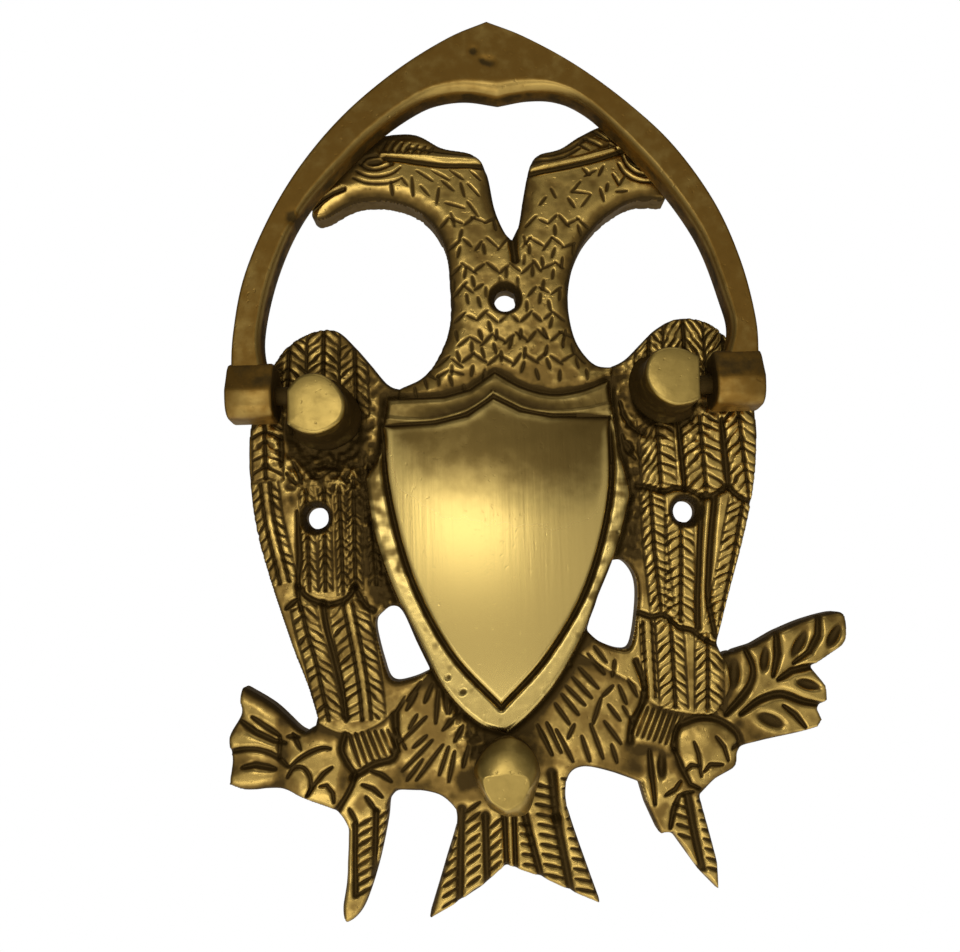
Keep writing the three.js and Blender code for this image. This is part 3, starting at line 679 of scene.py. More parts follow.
def long_feathers_and_tail(relief):
    """Shafts as grooves, with slanting barbs between them."""
    # Painted shade round the lower edge of the strike stud, at the tops of the tail feathers.
    relief.soil_and_shade([(-12, -61), (-6, -66), (0, -67), (8, -64)], 2.6, 0.4)
    relief.groove([(-33.4, -66), (-33.5, -80.6)], 1.1, 0.95)
    relief.groove([(-28.8, -63.5), (-29.4, -76.6)], 1.3, 1.1)
    relief.groove([(38.4, -62), (39.6, -70), (40.8, -77)], 1.7, 1.2)
    shafts = [
        (-10.4, -63.5, -11.3, -82.6, 1.7), (-5.3, -65, -5.2, -79.2, 1.6),
        (-1.2, -64.6, -1.0, -75.4, 1.2), (0.9, -65.5, 0.9, -76.4, 1.0), (3.2, -65, 6.4, -78.6, 1.4),
        (9.3, -56.5, 10.0, -66, 1.8), (10.0, -66, 12.5, -81, 1.8)]
    for x0, z0, x1, z1, width in shafts:
        relief.groove([(x0, z0), (x1, z1)], width, 1.1)
    # Slanting barbs between the shafts: x from and to, z of the first and last, rise and pitch.
    bands = [
        (-32.6, -29.8, -65.5, -81, 1.5, 2.05), (-28, -26.4, -64, -76, 1.2, 2.05),
        (-14.5, -11.6, -66, -84, 1.6, 2.1), (-9.4, -6.4, -63, -81, 2.0, 2.2),
        (-4.3, -1.9, -66.5, -78, 1.9, 2.2), (1.8, 4.2, -67, -76, -0.5, 2.1),
        (5.2, 9.2, -59, -80, -1.0, 2.1), (11.4, 16.4, -58, -83, -1.0, 2.1),
        (35.4, 38, -64, -72, -0.9, 2.1), (40.6, 44.4, -63.5, -78, -1.1, 2.0)]
    for x0, x1, top, bottom, rise, pitch in bands:
        for z in np.arange(top, bottom, -pitch):
            shift = (top - z) * (0.1 if x0 > 0 else -0.02)
            relief.groove([(x0 + shift, z - rise / 2), (x1 + shift, z + rise / 2)], 0.75, 0.55, True)


def leaf_sprig(relief):
    """Stems as grooves and six leaves as hollows."""
    relief.grooves([
        [(52.6, -31), (54, -35), (53.5, -38), (51.4, -41.2), (47.6, -45)],
        [(59.6, -27.4), (59.6, -32), (58.3, -37)],
        [(69.1, -24), (68.6, -28.5), (66.5, -31.9), (63, -34.4)]], 1.5, 1.25)
    relief.grooves([
        [(59.4, -37.8), (62.6, -36), (67.6, -35)],
        [(50.8, -45), (55.2, -42.1), (60, -41), (64.8, -42.7), (69.4, -43.6)]], 1.5, 1.25)
    relief.grooves([[(60.2, -43.4), (62.6, -45.4), (64.8, -48.2)]], 1.1, 0.9)
    leaves = [
        ((49.8, -36.6), (4.8, 2.2), 84), ((56.6, -33.6), (4.6, 1.9), 78),
        ((64.3, -30.6), (5.4, 2.2), 58), ((72, -28.8), (4.6, 2.0), 57), ((65.7, -39), (4.8, 2.0), -16),
        ((57.2, -46.4), (5.4, 2.6), -24)]
    for centre, size, tilt in leaves:
        relief.dimple(centre, size, tilt, 1.3)
    # Dirt and painted shade in the hollows between the sprig and the right wing.
    relief.soil_and_shade([(50, -48), (54, -50)], 1.6, 0.5)
    relief.soil_and_shade([(47, -34), (47.5, -45)], 1.2, 0.6)


def hollows_round_fixings(relief):
    """Rough hollows round the lugs, down both sides of the shield and at the screw holes, darkened with dirt
    and painted shade.
    """
    for (x, z), reach in [((-38.6, 20.0), 9.6), ((37.4, 26.0), 7.9)]:
        away = np.hypot(GX - x, (GZ - z) * 0.92)
        relief.depth -= smooth(reach - away, 0, 3) * 1.4
        # Painted shade round each lug, darkest close to the post, kept off the shield.
        grime_and_shade = 0.7 * smooth(reach + 2 - away, 0, 4) + 0.3 * smooth(reach + 9 - away, 0, 9)
        relief.dirt_and_shade = np.where(SHIELD_AREA < 0, relief.dirt_and_shade, np.maximum(relief.dirt_and_shade, grime_and_shade))
        relief.roughen([(x, z), (x + 1, z - 1)], reach + 4, 0.22)
    # A broad darker patch on the left wing, below the left lug.
    relief.soil_and_shade([(-37, -3), (-36, -9)], 11, 0.4)
    # Dirt and painted shade down both sides of the shield, where it stands over the wings.
    hollows = [
        ([(-30.5, 12), (-31, 2), (-29.5, -8), (-25.5, -18)], 3.2),
        ([(30, 18), (29.6, 7), (29, -9)], 2.4)]
    for line, width in hollows:
        relief.soil_and_shade(line, width, 0.75)
        relief.roughen(line, width, 0.18)
    relief.roughen([(-34, 12), (-44, 10)], 3.5, 0.3)
    relief.roughen([(-10, -43), (-7, -50)], 3.0, 0.25)
    for x, z in SCREW_HOLES:    # the sinks
        away = np.hypot(GX - x, GZ - z)
        relief.depth -= 1.9 * smooth(-away, -4.0, -2.6)
        # Dirt and painted shade in each sink.
        relief.dirt_and_shade = np.maximum(relief.dirt_and_shade, smooth(-away, -4.6, -3.4))


# ---- The relief, as a depth at each grid point ----
def bounded(distance_field, depth, edge=0.8):
    """A raised area with a rounded edge, far below the plate outside it."""
    return np.where(distance_field < 2 * CELL, depth - rounded(np.maximum(-distance_field, 0), edge), -99)


SHIELD_AREA = signed_distance(chain(SHIELD))


def shield_over(relief, shield, panel):
    """Lays the shield over the wings and legs."""
    relief.depth -= 0.9 * np.exp(-(np.clip(shield, 0, None) / 0.9) ** 2)
    rim = SHIELD_DEPTH - rounded(np.maximum(-shield, 0), 1.4)
    relief.depth[:] = np.where(shield < 0, rim, relief.depth)
    dome = SHIELD_CROWN - ((GX + 1) / 59) ** 2 * 10 - ((GZ + 6) / 85) ** 2 * 10
    relief.depth[:] = np.where(panel < 0, dome - rounded(-panel, 0.6), relief.depth)
    relief.depth -= (1.2 - 0.75 * smooth(GZ, 17, 20)) * np.exp(-(panel / 0.58) ** 2)
    # Painted shade: a dark band along the shield's outline, where it stands over the wings and legs.
    relief.dirt_and_shade = np.maximum(relief.dirt_and_shade, 0.75 * np.exp(-(shield / 2.4) ** 2))
    # Painted shade: the panel and its border darker towards the top, the panel also a little towards the
    # right; the border also mottled at random below z 15.
    on_panel = 0.54 * smooth(GZ + 0.15 * GX, -11, 24)
    on_border = 0.24 + 0.42 * smooth(GZ, -24, 2) + 0.15 * relief.unevenness(1.6) * (GZ < 15)
    relief.dirt_and_shade = np.where(shield < 0, np.where(panel < 0, on_panel, on_border), relief.dirt_and_shade)
    relief.depth += np.where((shield < 0) & (panel > 0), 0.012 * relief.grain, 0)
    shield_lines(relief)


def cast_relief():
    """The casting's outline, its front, and the areas that its pieces are cut from."""
    heads = signed_distance(chain(HEADS))
    left_wing = signed_distance(chain(LEFT_WING))
    right_wing = signed_distance(chain(RIGHT_WING))
    shield = SHIELD_AREA
    panel = signed_distance(chain(SHIELD_PANEL))
    lower = signed_distance(chain(LOWER_BODY))
    windows = np.minimum(signed_distance(chain(LEFT_WINDOW)), signed_distance(chain(RIGHT_WINDOW)))
    outline = np.minimum.reduce([heads, left_wing, right_wing, shield, lower])
    outline = np.maximum(outline, -windows)
    for x, z in SCREW_HOLES:
        outline = np.maximum(outline, SCREW_HOLE_RADIUS - np.hypot(GX - x, GZ - z))

    rounded_heads = bounded(heads, HEAD_DEPTH) - 0.8 * np.exp(-(heads / 2.6) ** 2)
    wings = np.maximum(bounded(left_wing, WING_DEPTH), bounded(right_wing, WING_DEPTH))
    depth = np.maximum.reduce([rounded_heads, wings, bounded(lower, LOWER_DEPTH)])
    relief = Relief(np.maximum(depth, LEAST_DEPTH))
    # A base darkness for each zone: lighter on the heads above z 66, darker on the left wing than on the
    # right.
    above_neck = np.where(GZ < 66, 0.17, -0.3)
    relief.dirt_and_shade = np.select([heads < 0, left_wing < 0, right_wing < 0], [above_neck, 0.34, 0.15], 0.24)
    left_wing_feathers(relief)
    right_wing_feathers(relief)
    swellings(relief)
    legs(relief)
    claws(relief)
    long_feathers_and_tail(relief)
    leaf_sprig(relief)
    neck(relief)
    left_head(relief)
    right_head(relief)
    shield_over(relief, shield, panel)
    hollows_round_fixings(relief)
    zones = {"heads": heads, "left_wing": left_wing, "right_wing": right_wing, "shield": shield,
             "lower": lower}
    return outline, relief, zones


# ---- Meshes ----
def new_object(mesh, body, slot, node):
    """Adds a piece named after its mesh, which rides on a body and replaces a node of the frame."""
    piece = bpy.data.objects.new(mesh.name, mesh)
    bpy.context.scene.collection.objects.link(piece)
    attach(piece, body)
    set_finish(piece, slot)
    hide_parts(node)


def without_pinches(cells):
    """Fills a cell where two others meet only at a corner, so that the piece stays one clean body."""
    for _ in range(6):
        a, b, c, d = cells[:-1, :-1], cells[1:, :-1], cells[:-1, 1:], cells[1:, 1:]
        rising = a & d & ~b & ~c
        falling = b & c & ~a & ~d
        if not (rising.any() or falling.any()):
            break
        cells[1:, :-1] |= rising
        cells[:-1, :-1] |= falling
    return cells


def evened(points, border, at_rim):
    """Moves the points of a rim to lie evenly along it."""
    for _ in range(14):
        total = np.zeros_like(points)
        count = np.zeros(len(points))
        for a, b in (border.T, border.T[::-1]):
            np.add.at(total, a, points[b])
            np.add.at(count, a, 1)
        free = at_rim & (count > 0)
        points[free] = points[free] * 0.4 + total[free] / count[free, None] * 0.6
    return points


def relief_mesh(name, cells):
    """A closed piece of the casting over the given grid cells, with a flat back."""
    cells = without_pinches(cells.copy())
    i, j = np.nonzero(cells)
    nz = GX.shape[1]
    corners = np.stack([i * nz + j, i * nz + j + 1, (i + 1) * nz + j + 1, (i + 1) * nz + j], 1)
    used, index = np.unique(corners, return_inverse=True)
    quads = index.reshape(corners.shape)
    vi, vj = np.divmod(used, nz)

    solid_cells = np.pad(SOLID_CELLS, 1)
    at_rim = ~np.logical_and.reduce([solid_cells[vi + a, vj + b] for a in (0, 1) for b in (0, 1)])
    edges = np.vstack([quads[:, [0, 1]], quads[:, [1, 2]], quads[:, [2, 3]], quads[:, [3, 0]]])
    _, first, count = np.unique(np.sort(edges, 1), axis=0, return_index=True, return_counts=True)
    border = edges[first[count == 1]]

    gx, gz = (slope[vi, vj] for slope in SLOPE)
    steep = np.maximum(gx**2 + gz**2, 0.25)
    move = np.clip(np.where(at_rim, -outline[vi, vj] / steep, 0), -2 * CELL, 2 * CELL)
    top = np.column_stack([XS[vi] + move * gx, -FRONT[vi, vj], ZS[vj] + move * gz]) * MM
    top = evened(top, border, at_rim)

    ring, on_ring = np.unique(border, return_inverse=True)
    on_brow = on_ring.reshape(border.shape) + len(top)
    on_back = on_brow + len(ring)
    brow = top[ring] + [0, BROW * MM, 0]
    back = top[ring] * [1, 0, 1]
    walls = np.vstack([
        np.column_stack([border[:, 1], border[:, 0], on_brow[:, 0], on_brow[:, 1]]),
        np.column_stack([on_brow[:, 1], on_brow[:, 0], on_back[:, 0], on_back[:, 1]])])

    mesh = bpy.data.meshes.new(name)
    mesh.from_pydata(np.vstack([top, brow, back]).tolist(), [], np.vstack([quads, walls]).tolist())
    for mark, field in MARKS.items():
        attribute = mesh.attributes.new(mark, "FLOAT", "POINT")
        at_top = np.where(at_rim, np.minimum(field[vi, vj], RIM_MARKS[mark]), field[vi, vj])
        at_back = np.full(2 * len(ring), BACK_MARKS[mark])
        attribute.data.foreach_set("value", np.concatenate([at_top, at_back]).astype(np.float32))
    close_back(mesh, len(quads), len(quads) + len(walls))
    outward = np.column_stack([gx, np.zeros(len(gx)), gz])
    outward /= np.maximum(np.linalg.norm(outward, axis=1), 1e-6)[:, None]
    from_rim = np.concatenate([np.arange(len(top)), ring, ring])
    blend_normals(mesh, vi, vj, at_rim, border, len(quads), len(walls), outward[from_rim])
    return mesh


def close_back(mesh, tops, sides):
    """Fills the flat back and sets which edges look sharp."""
    work = bmesh.new()
    work.from_mesh(mesh)
    bmesh.ops.triangle_fill(work, use_beauty=False, use_dissolve=False,
                            edges=[edge for edge in work.edges if edge.is_boundary])
    work.faces.index_update()
    bmesh.ops.recalc_face_normals(work, faces=work.faces)
    for face in work.faces:
        face.smooth = face.index < sides
        face.material_index = int(face.index >= sides)
    for edge in work.edges:
        at_side = [tops <= face.index < sides for face in edge.link_faces]
        edge.smooth = all(at_side) or not any(at_side)
    work.to_mesh(mesh)
    work.free()


def blend_normals(mesh, vi, vj, at_rim, border, tops, walls, outward):
    """Smooth shading on the side walls, and the same shading on both sides of a seam."""
    seam = np.zeros(len(mesh.vertices), bool)
    seam[np.unique(border)] = True
    seam[:len(vi)] &= ~at_rim
    away = np.zeros((len(mesh.vertices), 3))
    rise_x, rise_z = (slope[vi, vj] for slope in FRONT_SLOPE)
    across = np.column_stack([-rise_x, -np.ones(len(vi)), -rise_z])
    away[:len(vi)] = across / np.linalg.norm(across, axis=1)[:, None]
    corner_of = np.zeros(len(mesh.loops), int)
    mesh.loops.foreach_get("vertex_index", corner_of)
    starts = np.zeros(len(mesh.polygons), int)
    mesh.polygons.foreach_get("loop_start", starts)
    corner = np.arange(len(mesh.loops))
    on_top = corner < starts[tops]
    on_wall = (corner >= starts[tops]) & (corner < starts[tops + walls])
    normals = np.where((on_top & seam[corner_of])[:, None], away[corner_of], 0)
    normals = np.where(on_wall[:, None], outward[corner_of], normals)
    mesh.normals_split_custom_set(normals.tolist())


def split_cells(zones):
    """Which cells belong to which named piece of the casting."""
    x = GX[:-1, :-1] + CELL / 2
    z = GZ[:-1, :-1] + CELL / 2
    inner = {name: zone[:-1, :-1] < 0 for name, zone in zones.items()}
    taken = {}
    free = SOLID_CELLS.copy()

    def take(name, where):
        taken[name] = free & where
        free[taken[name]] = False

    take("shield", inner["shield"])
    take("left_head", inner["heads"] & (x < 4.4) & (z > 28))
    take("right_head", inner["heads"] & (z > 28))
    take("left_wing", inner["left_wing"] & (x < 0))
    take("right_wing", inner["right_wing"] & (x > 0))
    take("left_bundle", (x < -44) & (z < -30))
    take("left_claw", (x < -11.5) & (x < -9 - 0.2 * (z + 60)))
    take("leaf_sprig", (x > 50) & (z < -20))
    take("right_claw", x > 12.5)
    take("tail", True)
    return taken


outline, relief, zones = cast_relief()
SOLID_CELLS = (outline[:-1, :-1] + outline[1:, :-1] + outline[:-1, 1:] + outline[1:, 1:]) < 0
SLOPE = np.gradient(outline, CELL)
FRONT = relief.depth - rounded(np.where(outline < -CELL, -outline, 0), EDGE_ROUND)
FRONT_SLOPE = np.gradient(FRONT, CELL)


def hollowness(width):
    """How far the front lies below its surroundings."""
    solid = (outline < 0).astype(float)
    around = blur(relief.depth * solid, width) / np.maximum(blur(solid, width), 0.05)
    return around - relief.depth


# cavity is how far the front lies below its surroundings, in fine grooves and, more weakly, across broad
# hollows; the brass shaders darken it as dirt and painted shade.
MARKS = {"cavity": hollowness(2.4) + 0.45 * np.clip(hollowness(9), -0.5, 0.5), "dirt_and_shade": relief.dirt_and_shade}
for name, cells in split_cells(zones).items():
    new_object(relief_mesh(f"plate_{name}", cells), "plate", "aged_brass", "back_plate")


# ---- Hinge lugs, stud, pins and bail ----
def loft(name, rings, grime_and_shade):
    """A closed mesh through rings of the same number of points, with both ends filled.

    The third argument is how dark the colour is made at each ring, or at each point of each ring: dirt and
    painted shade.
    """
    count = len(rings[0])
    points = np.vstack(rings) * MM
    faces = []
    for r in range(len(rings) - 1):
        for k in range(count):
            after = (k + 1) % count
            faces.append((r * count + k, r * count + after, (r + 1) * count + after, (r + 1) * count + k))
    faces.append(tuple(range(count)))
    faces.append(tuple(range(len(points) - 1, len(points) - 1 - count, -1)))
    mesh = bpy.data.meshes.new(name)
    mesh.from_pydata(points.tolist(), [], faces)
    dirt_and_shade = np.array([np.broadcast_to(level, count) for level in grime_and_shade]).ravel()
    mesh.attributes.new("dirt_and_shade", "FLOAT", "POINT").data.foreach_set("value", dirt_and_shade.astype(np.float32))
    work = bmesh.new()
    work.from_mesh(mesh)
    bmesh.ops.recalc_face_normals(work, faces=work.faces)
    for face in work.faces:
        face.smooth = True
    work.to_mesh(mesh)
    work.free()
    return mesh


def shrunk(line, by):
    """A closed line drawn in towards its middle by about a distance."""
    middle = line.mean(0)
    spokes = line - middle
    return middle + spokes * (1 - by / np.hypot(*spokes.T).mean())


def ring_at(line, depth_at):
    """A line drawn in (x, z), set at one depth."""
    return np.column_stack([line[:, 0], np.full(len(line), -depth_at), line[:, 1]])


def hinge_lug(name, stretches):
    """A filed post. Each step is how far it is drawn in, at what depth, and how dark its colour is made
    there: painted shade down the post's sides, less near the top and none on its face.
    """
    line = resample(np.vstack([chain(stretches), chain(stretches)[:1]]), 97)[:-1]
    steps = [(-1.6, 4.5, 0.9), (-1.5, 6.2, 0.9), (-0.7, 7.2, 0.9), (-0.25, 9, 0.9), (0, 13, 0.9),
             (0, 19.2, 0.5), (0.12, 19.65, 0), (0.4, 19.92, 0), (0.8, 20.0, 0), (3, 20.03, 0)]
    rings = [ring_at(shrunk(line, inset), at) for inset, at, _ in steps]
    return loft(name, rings, [dirt_and_shade for _, _, dirt_and_shade in steps])


def round_about(outline, angles):
    """A straight-sided outline given as its distance from the stud's middle at each angle."""
    x, z = resample(np.array(outline + outline[:1], float), 400)[:-1].T
    turn = np.arctan2(x, z)
    order = np.argsort(turn)
    return np.interp(angles, turn[order], np.hypot(x, z)[order], period=2 * math.pi)


def softened(radii, width):
    """Radii all round, averaged over about this many steps, so that the corners are rounded."""
    weight = np.exp(-(np.arange(-60, 60) / width) ** 2)
    weight = np.fft.fft(np.fft.ifftshift(weight / weight.sum()))
    return np.fft.ifft(np.fft.fft(radii) * weight).real


def strike_stud(name):
    """A hand-cut boss: a flat face low down and a ramp that runs up from it to the shield's point."""
    angles = np.linspace(0, 2 * math.pi, 121)[:-1]
    foot = softened(round_about(STUD_FOOT, angles), 4.0)
    face = softened(round_about(STUD_FACE, angles), 4.0 / math.sqrt(2))
    foot_depth = STUD_FOOT_DEPTH + STUD_FOOT_RISE * smooth(np.cos(angles), -0.3, 0.7)
    # Each step is its share of the way from foot to face, and of the rise between them.
    steps = [(0, -0.5), (0, 0), (0.05, 0.2), (0.4, 0.66), (0.8, 0.92), (0.93, 0.975), (1, 1), (1.06, 1),
             (1.5, 1)]
    rings = []
    for share, rise in steps:
        radius = (foot + (face - foot) * min(share, 1)) * (1 - max(share - 1, 0))
        depth = foot_depth + (STUD_DEPTH - foot_depth) * rise
        rings.append(np.column_stack([STUD_MIDDLE[0] + radius * np.sin(angles), -depth,
                                      STUD_MIDDLE[1] + radius * np.cos(angles)]))
    # Painted shade round the foot, where the stud meets the plate, fading out part way up towards the face.
    return loft(name, rings, [0.9, 0.8, 0.4, 0.1, 0, 0, 0, 0, 0])


def lean_back(points):
    """Turns points of the upright bail to the angle at which it rests on the heads."""
    y = points[:, 1] + HINGE_DEPTH
    z = points[:, 2] - HINGE_HEIGHT
    c, s = math.cos(RAISED_LEAN), math.sin(RAISED_LEAN)
    return np.column_stack([points[:, 0], c * y + s * z - HINGE_DEPTH, c * z - s * y + HINGE_HEIGHT])


def bail_dirt_shade_and_sheen(across, front):
    """How dark the arch's colour is made: lighter on its inner bevel as a painted highlight, dark on its
    inner edge as painted shade, and dark on its back.
    """
    if front < -0.5:
        return 0.3
    if across > 0.96:
        return 0.55
    return -0.12 if across > 0.82 else 0.17


def bail_arch(name):
    """A flat pointed arch, swept along its outer and inner outlines, with a few dents."""
    half = BAIL_THICKNESS / 2
    outer, inner = (
        np.vstack([resample(spline(left), 241)[:-1], resample(spline(right), 241)])
        for left, right in (BAIL_OUTER, BAIL_INNER))
    face = [(a, 1) for a in np.linspace(0.1, 0.8, 25)]
    section = [(0, 0.3), (0, 0.75), (0.02, 0.93), (0.05, 0.985)] + face
    section += [(0.85, 0.96), (0.9, 0.84), (0.95, 0.62), (0.985, 0.3), (1, -0.05), (1, -0.45), (0.97, -0.75),
                (0.88, -0.92), (0.7, -0.99), (0.5, -1), (0.3, -0.97), (0.14, -0.8), (0.04, -0.5), (0, -0.1)]
    rings = []
    grime_and_shade = []
    for o, i in zip(outer, inner):
        ring = []
        levels = []
        for a, front in section:
            at = o + (i - o) * a
            sink = sum(deep * math.exp(-math.hypot(at[0] - x, at[1] - z) ** 2 / size**2)
                       for x, z, size, deep in BAIL_DENTS)
            ring.append((at[0], -(HINGE_DEPTH + front * half - sink * (front > 0.9)), at[1]))
            levels.append(bail_dirt_shade_and_sheen(a, front) + 1.6 * sink)
        rings.append(lean_back(np.array(ring)))
        grime_and_shade.append(levels)
    return loft(name, rings, grime_and_shade)


def both_ends(span, ends):
    """Stations along X, given as (size, way in) for one end and repeated in mirror at the other."""
    near = [(size, span[0] + x) for size, x in ends]
    return near + [(size, span[1] - x) for size, x in reversed(ends)]


def bail_block(name, span):
    """The block at one end of the arch, a rounded section (depth, height) swept along X."""
    side = spline([(3.5, 6.4), (0, 6.5), (-3.3, 6.4), (-4.9, 3.2), (-6.1, 0.4)], 0.5).tolist()
    side += spline([(-6.1, 0.4), (-5.9, -1.5), (-5.3, -3.6), (-3.6, -5.2), (0, -5.6), (2.8, -5.5),
                    (4.6, -3.8), (5.3, 0.2), (4.8, 3.6), (3.5, 6.4)], 0.5).tolist()[:-1]
    line = resample(np.array(side + side[:1]), 81)[:-1]
    rings = []
    grime_and_shade = []
    for inset, x in both_ends(span, [(1.2, 0), (0.6, 0.03), (0.2, 0.22), (0, 0.65)]):
        flat = shrunk(line, inset)
        ring = np.column_stack([np.full(len(flat), x), flat[:, 0] - HINGE_DEPTH, flat[:, 1] + HINGE_HEIGHT])
        rings.append(lean_back(ring))
        # Painted shade: the upper half of the block darker than the lower half, which faces the light from
        # below; the end rings darker still.
        grime_and_shade.append(0.35 * smooth(flat[:, 1], -0.6, 1.6) + (0.7 if inset > 0.3 else 0.13))
    return loft(name, rings, grime_and_shade)


def hinge_pin(name, span):
    """A rod along X with rounded ends."""
    around = np.linspace(0, 2 * math.pi, 49)[:-1]
    rings = []
    for radius, x in both_ends(span, [(1.2, 0), (1.7, 0.1), (2, 0.4)]):
        rings.append(np.column_stack([np.full(len(around), x), radius * np.cos(around) - HINGE_DEPTH,
                                      radius * np.sin(around) + HINGE_HEIGHT]))
    return loft(name, rings, [0.6] * len(rings))


for mesh, body, slot, node in [
        (hinge_lug("lug_left", LEFT_LUG), "plate", "bare_brass", "hinge_lug_left"),
        (hinge_lug("lug_right", RIGHT_LUG), "plate", "bare_brass", "hinge_lug_right"),
        (strike_stud("stud"), "plate", "bare_brass", "strike_stud"),
        (bail_arch("bail_arch"), "bail", "bail_brass", "knocker_bail"),
        (bail_block("bail_block_left", LEFT_BLOCK), "bail", "bail_brass", "knocker_bail"),
        (bail_block("bail_block_right", RIGHT_BLOCK), "bail", "bail_brass", "knocker_bail"),
        (hinge_pin("pin_left", LEFT_PIN), "bail", "pin_brass", "hinge_pin_left"),
        (hinge_pin("pin_right", RIGHT_PIN), "bail", "pin_brass", "hinge_pin_right")]:
    new_object(mesh, body, slot, node)


# ---- Materials ----
def map_range(tree, value, low, high, to_low=0.0, to_high=1.0, kind="SMOOTHSTEP"):
    """Values between low and high, brought to between to_low and to_high by a node."""
    spread = tree.nodes.new("ShaderNodeMapRange")
    spread.interpolation_type = kind
    for name, level in zip(("From Min", "From Max", "To Min", "To Max"), (low, high, to_low, to_high)):
        spread.inputs[name].default_value = level
    tree.links.new(value, spread.inputs["Value"])
    return spread.outputs["Result"]


class Shading:
    """A brass material being built: worn on the ridges, dark in the hollows with dirt and painted shade."""

    def __init__(self, name):
        self.material = bpy.data.materials.new(name)
        self.material.use_nodes = True
        self.nodes = self.material.node_tree.nodes
        self.links = self.material.node_tree.links
        self.shader = self.nodes["Principled BSDF"]
        self.place = self.nodes.new("ShaderNodeTexCoord").outputs["Object"]

    def noise(self, scale, detail=2.0, stretch=(1, 1, 1)):
        """Noise between 0 and 1, fixed to the piece."""
        mapping = self.nodes.new("ShaderNodeMapping")
        mapping.inputs["Scale"].default_value = stretch
        self.links.new(self.place, mapping.inputs["Vector"])
        texture = self.nodes.new("ShaderNodeTexNoise")
        texture.inputs["Scale"].default_value = scale
        texture.inputs["Detail"].default_value = detail
        self.links.new(mapping.outputs["Vector"], texture.inputs["Vector"])
        return texture.outputs["Fac"]

    def mark(self, name):
        """What the mesh says at each point under this name."""
        attribute = self.nodes.new("ShaderNodeAttribute")
        attribute.attribute_name = name
        return attribute.outputs["Fac"]

    def between(self, value, low, high, to_low=0.0, to_high=1.0):
        """to_low where the value is low, to_high where it is high."""
        return map_range(self.material.node_tree, value, low, high, to_low, to_high)

    def maths(self, kind, a, b):
        """The sum, difference or product of two values, each a number or another node's result."""
        node = self.nodes.new("ShaderNodeMath")
        node.operation = kind
        for socket, value in zip(node.inputs, (a, b)):
            if isinstance(value, (int, float)):
                socket.default_value = value
            else:
                self.links.new(value, socket)
        return node.outputs[0]

    def blend(self, amount, a, b):
        """a where the amount is 0, b where it is 1."""
        node = self.nodes.new("ShaderNodeMix")
        node.data_type = "RGBA"
        self.links.new(amount, node.inputs["Factor"])
        for socket, value in ((node.inputs[6], a), (node.inputs[7], b)):
            if isinstance(value, tuple):
                socket.default_value = (*value, 1)
            else:
                self.links.new(value, socket)
        return node.outputs[2]

    def bump(self, height, strength, distance):
        """Makes the surface look as if it rose and fell with the height."""
        node = self.nodes.new("ShaderNodeBump")
        node.inputs["Strength"].default_value = strength
        node.inputs["Distance"].default_value = distance
        self.links.new(height, node.inputs["Height"])
        self.links.new(node.outputs["Normal"], self.shader.inputs["Normal"])


def aged_brass(name, worn, mid, grime_and_shade, roughness, brushed=False):
    """The argument after the colours is how dark a plain face is made; roughness is that of a worn one."""
    brass = Shading(name)
    patches = brass.noise(70, 3)
    specks = brass.noise(420, 2)
    hollow = brass.between(brass.mark("cavity"), -0.30, 0.42)
    blotchy = 0.2 if brushed else 1.0
    crumbs = brass.between(brass.noise(260, 4), 0.3, 0.7, 1 - 0.4 * blotchy, 1 + 0.3 * blotchy)
    # Hollows and the marked darkness darken the metal: dirt, and painted shade in the hollows and creases.
    soiled_and_shaded = brass.maths("ADD", hollow, brass.maths("MULTIPLY", brass.mark("dirt_and_shade"), crumbs))
    uneven = brass.maths("MULTIPLY", brass.maths("SUBTRACT", patches, 0.5), 0.5 * blotchy)
    fine = brass.maths("MULTIPLY", brass.maths("SUBTRACT", specks, 0.5), 0.35 * blotchy)
    level = brass.maths("ADD", brass.maths("ADD", soiled_and_shaded, uneven), brass.maths("ADD", fine, grime_and_shade))
    to_mid = brass.between(level, 0.12, 0.5)
    to_dirt_and_shade = brass.between(level, 0.48, 0.95)
    colour = brass.blend(to_dirt_and_shade, brass.blend(to_mid, worn, mid), DIRT_AND_SHADE_COLOUR)
    brass.links.new(colour, brass.shader.inputs["Base Color"])
    brass.links.new(brass.between(level, 0.1, 0.95, roughness, 0.62), brass.shader.inputs["Roughness"])
    brass.links.new(brass.between(to_dirt_and_shade, 0.2, 1.0, 1.0, 0.85), brass.shader.inputs["Metallic"])
    pits = brass.between(brass.noise(900, 1), 0.66, 0.78, 1.0, 0.0)
    if brushed:
        grain = brass.maths("MULTIPLY", brass.noise(900, 3, (1, 0.05, 0.045)), 0.36)
        rough = brass.maths("MULTIPLY", pits, 0.15)
    else:
        grain = brass.maths("MULTIPLY", brass.noise(300, 4), 0.6)
        rough = brass.maths("MULTIPLY", pits, 0.45)
    brass.bump(brass.maths("ADD", grain, rough), 0.55, 0.00016)
    return brass.material


# The darkest colour, for dirt and for painted shade in hollows, creases and under other parts.
DIRT_AND_SHADE_COLOUR = (0.08, 0.046, 0.009)
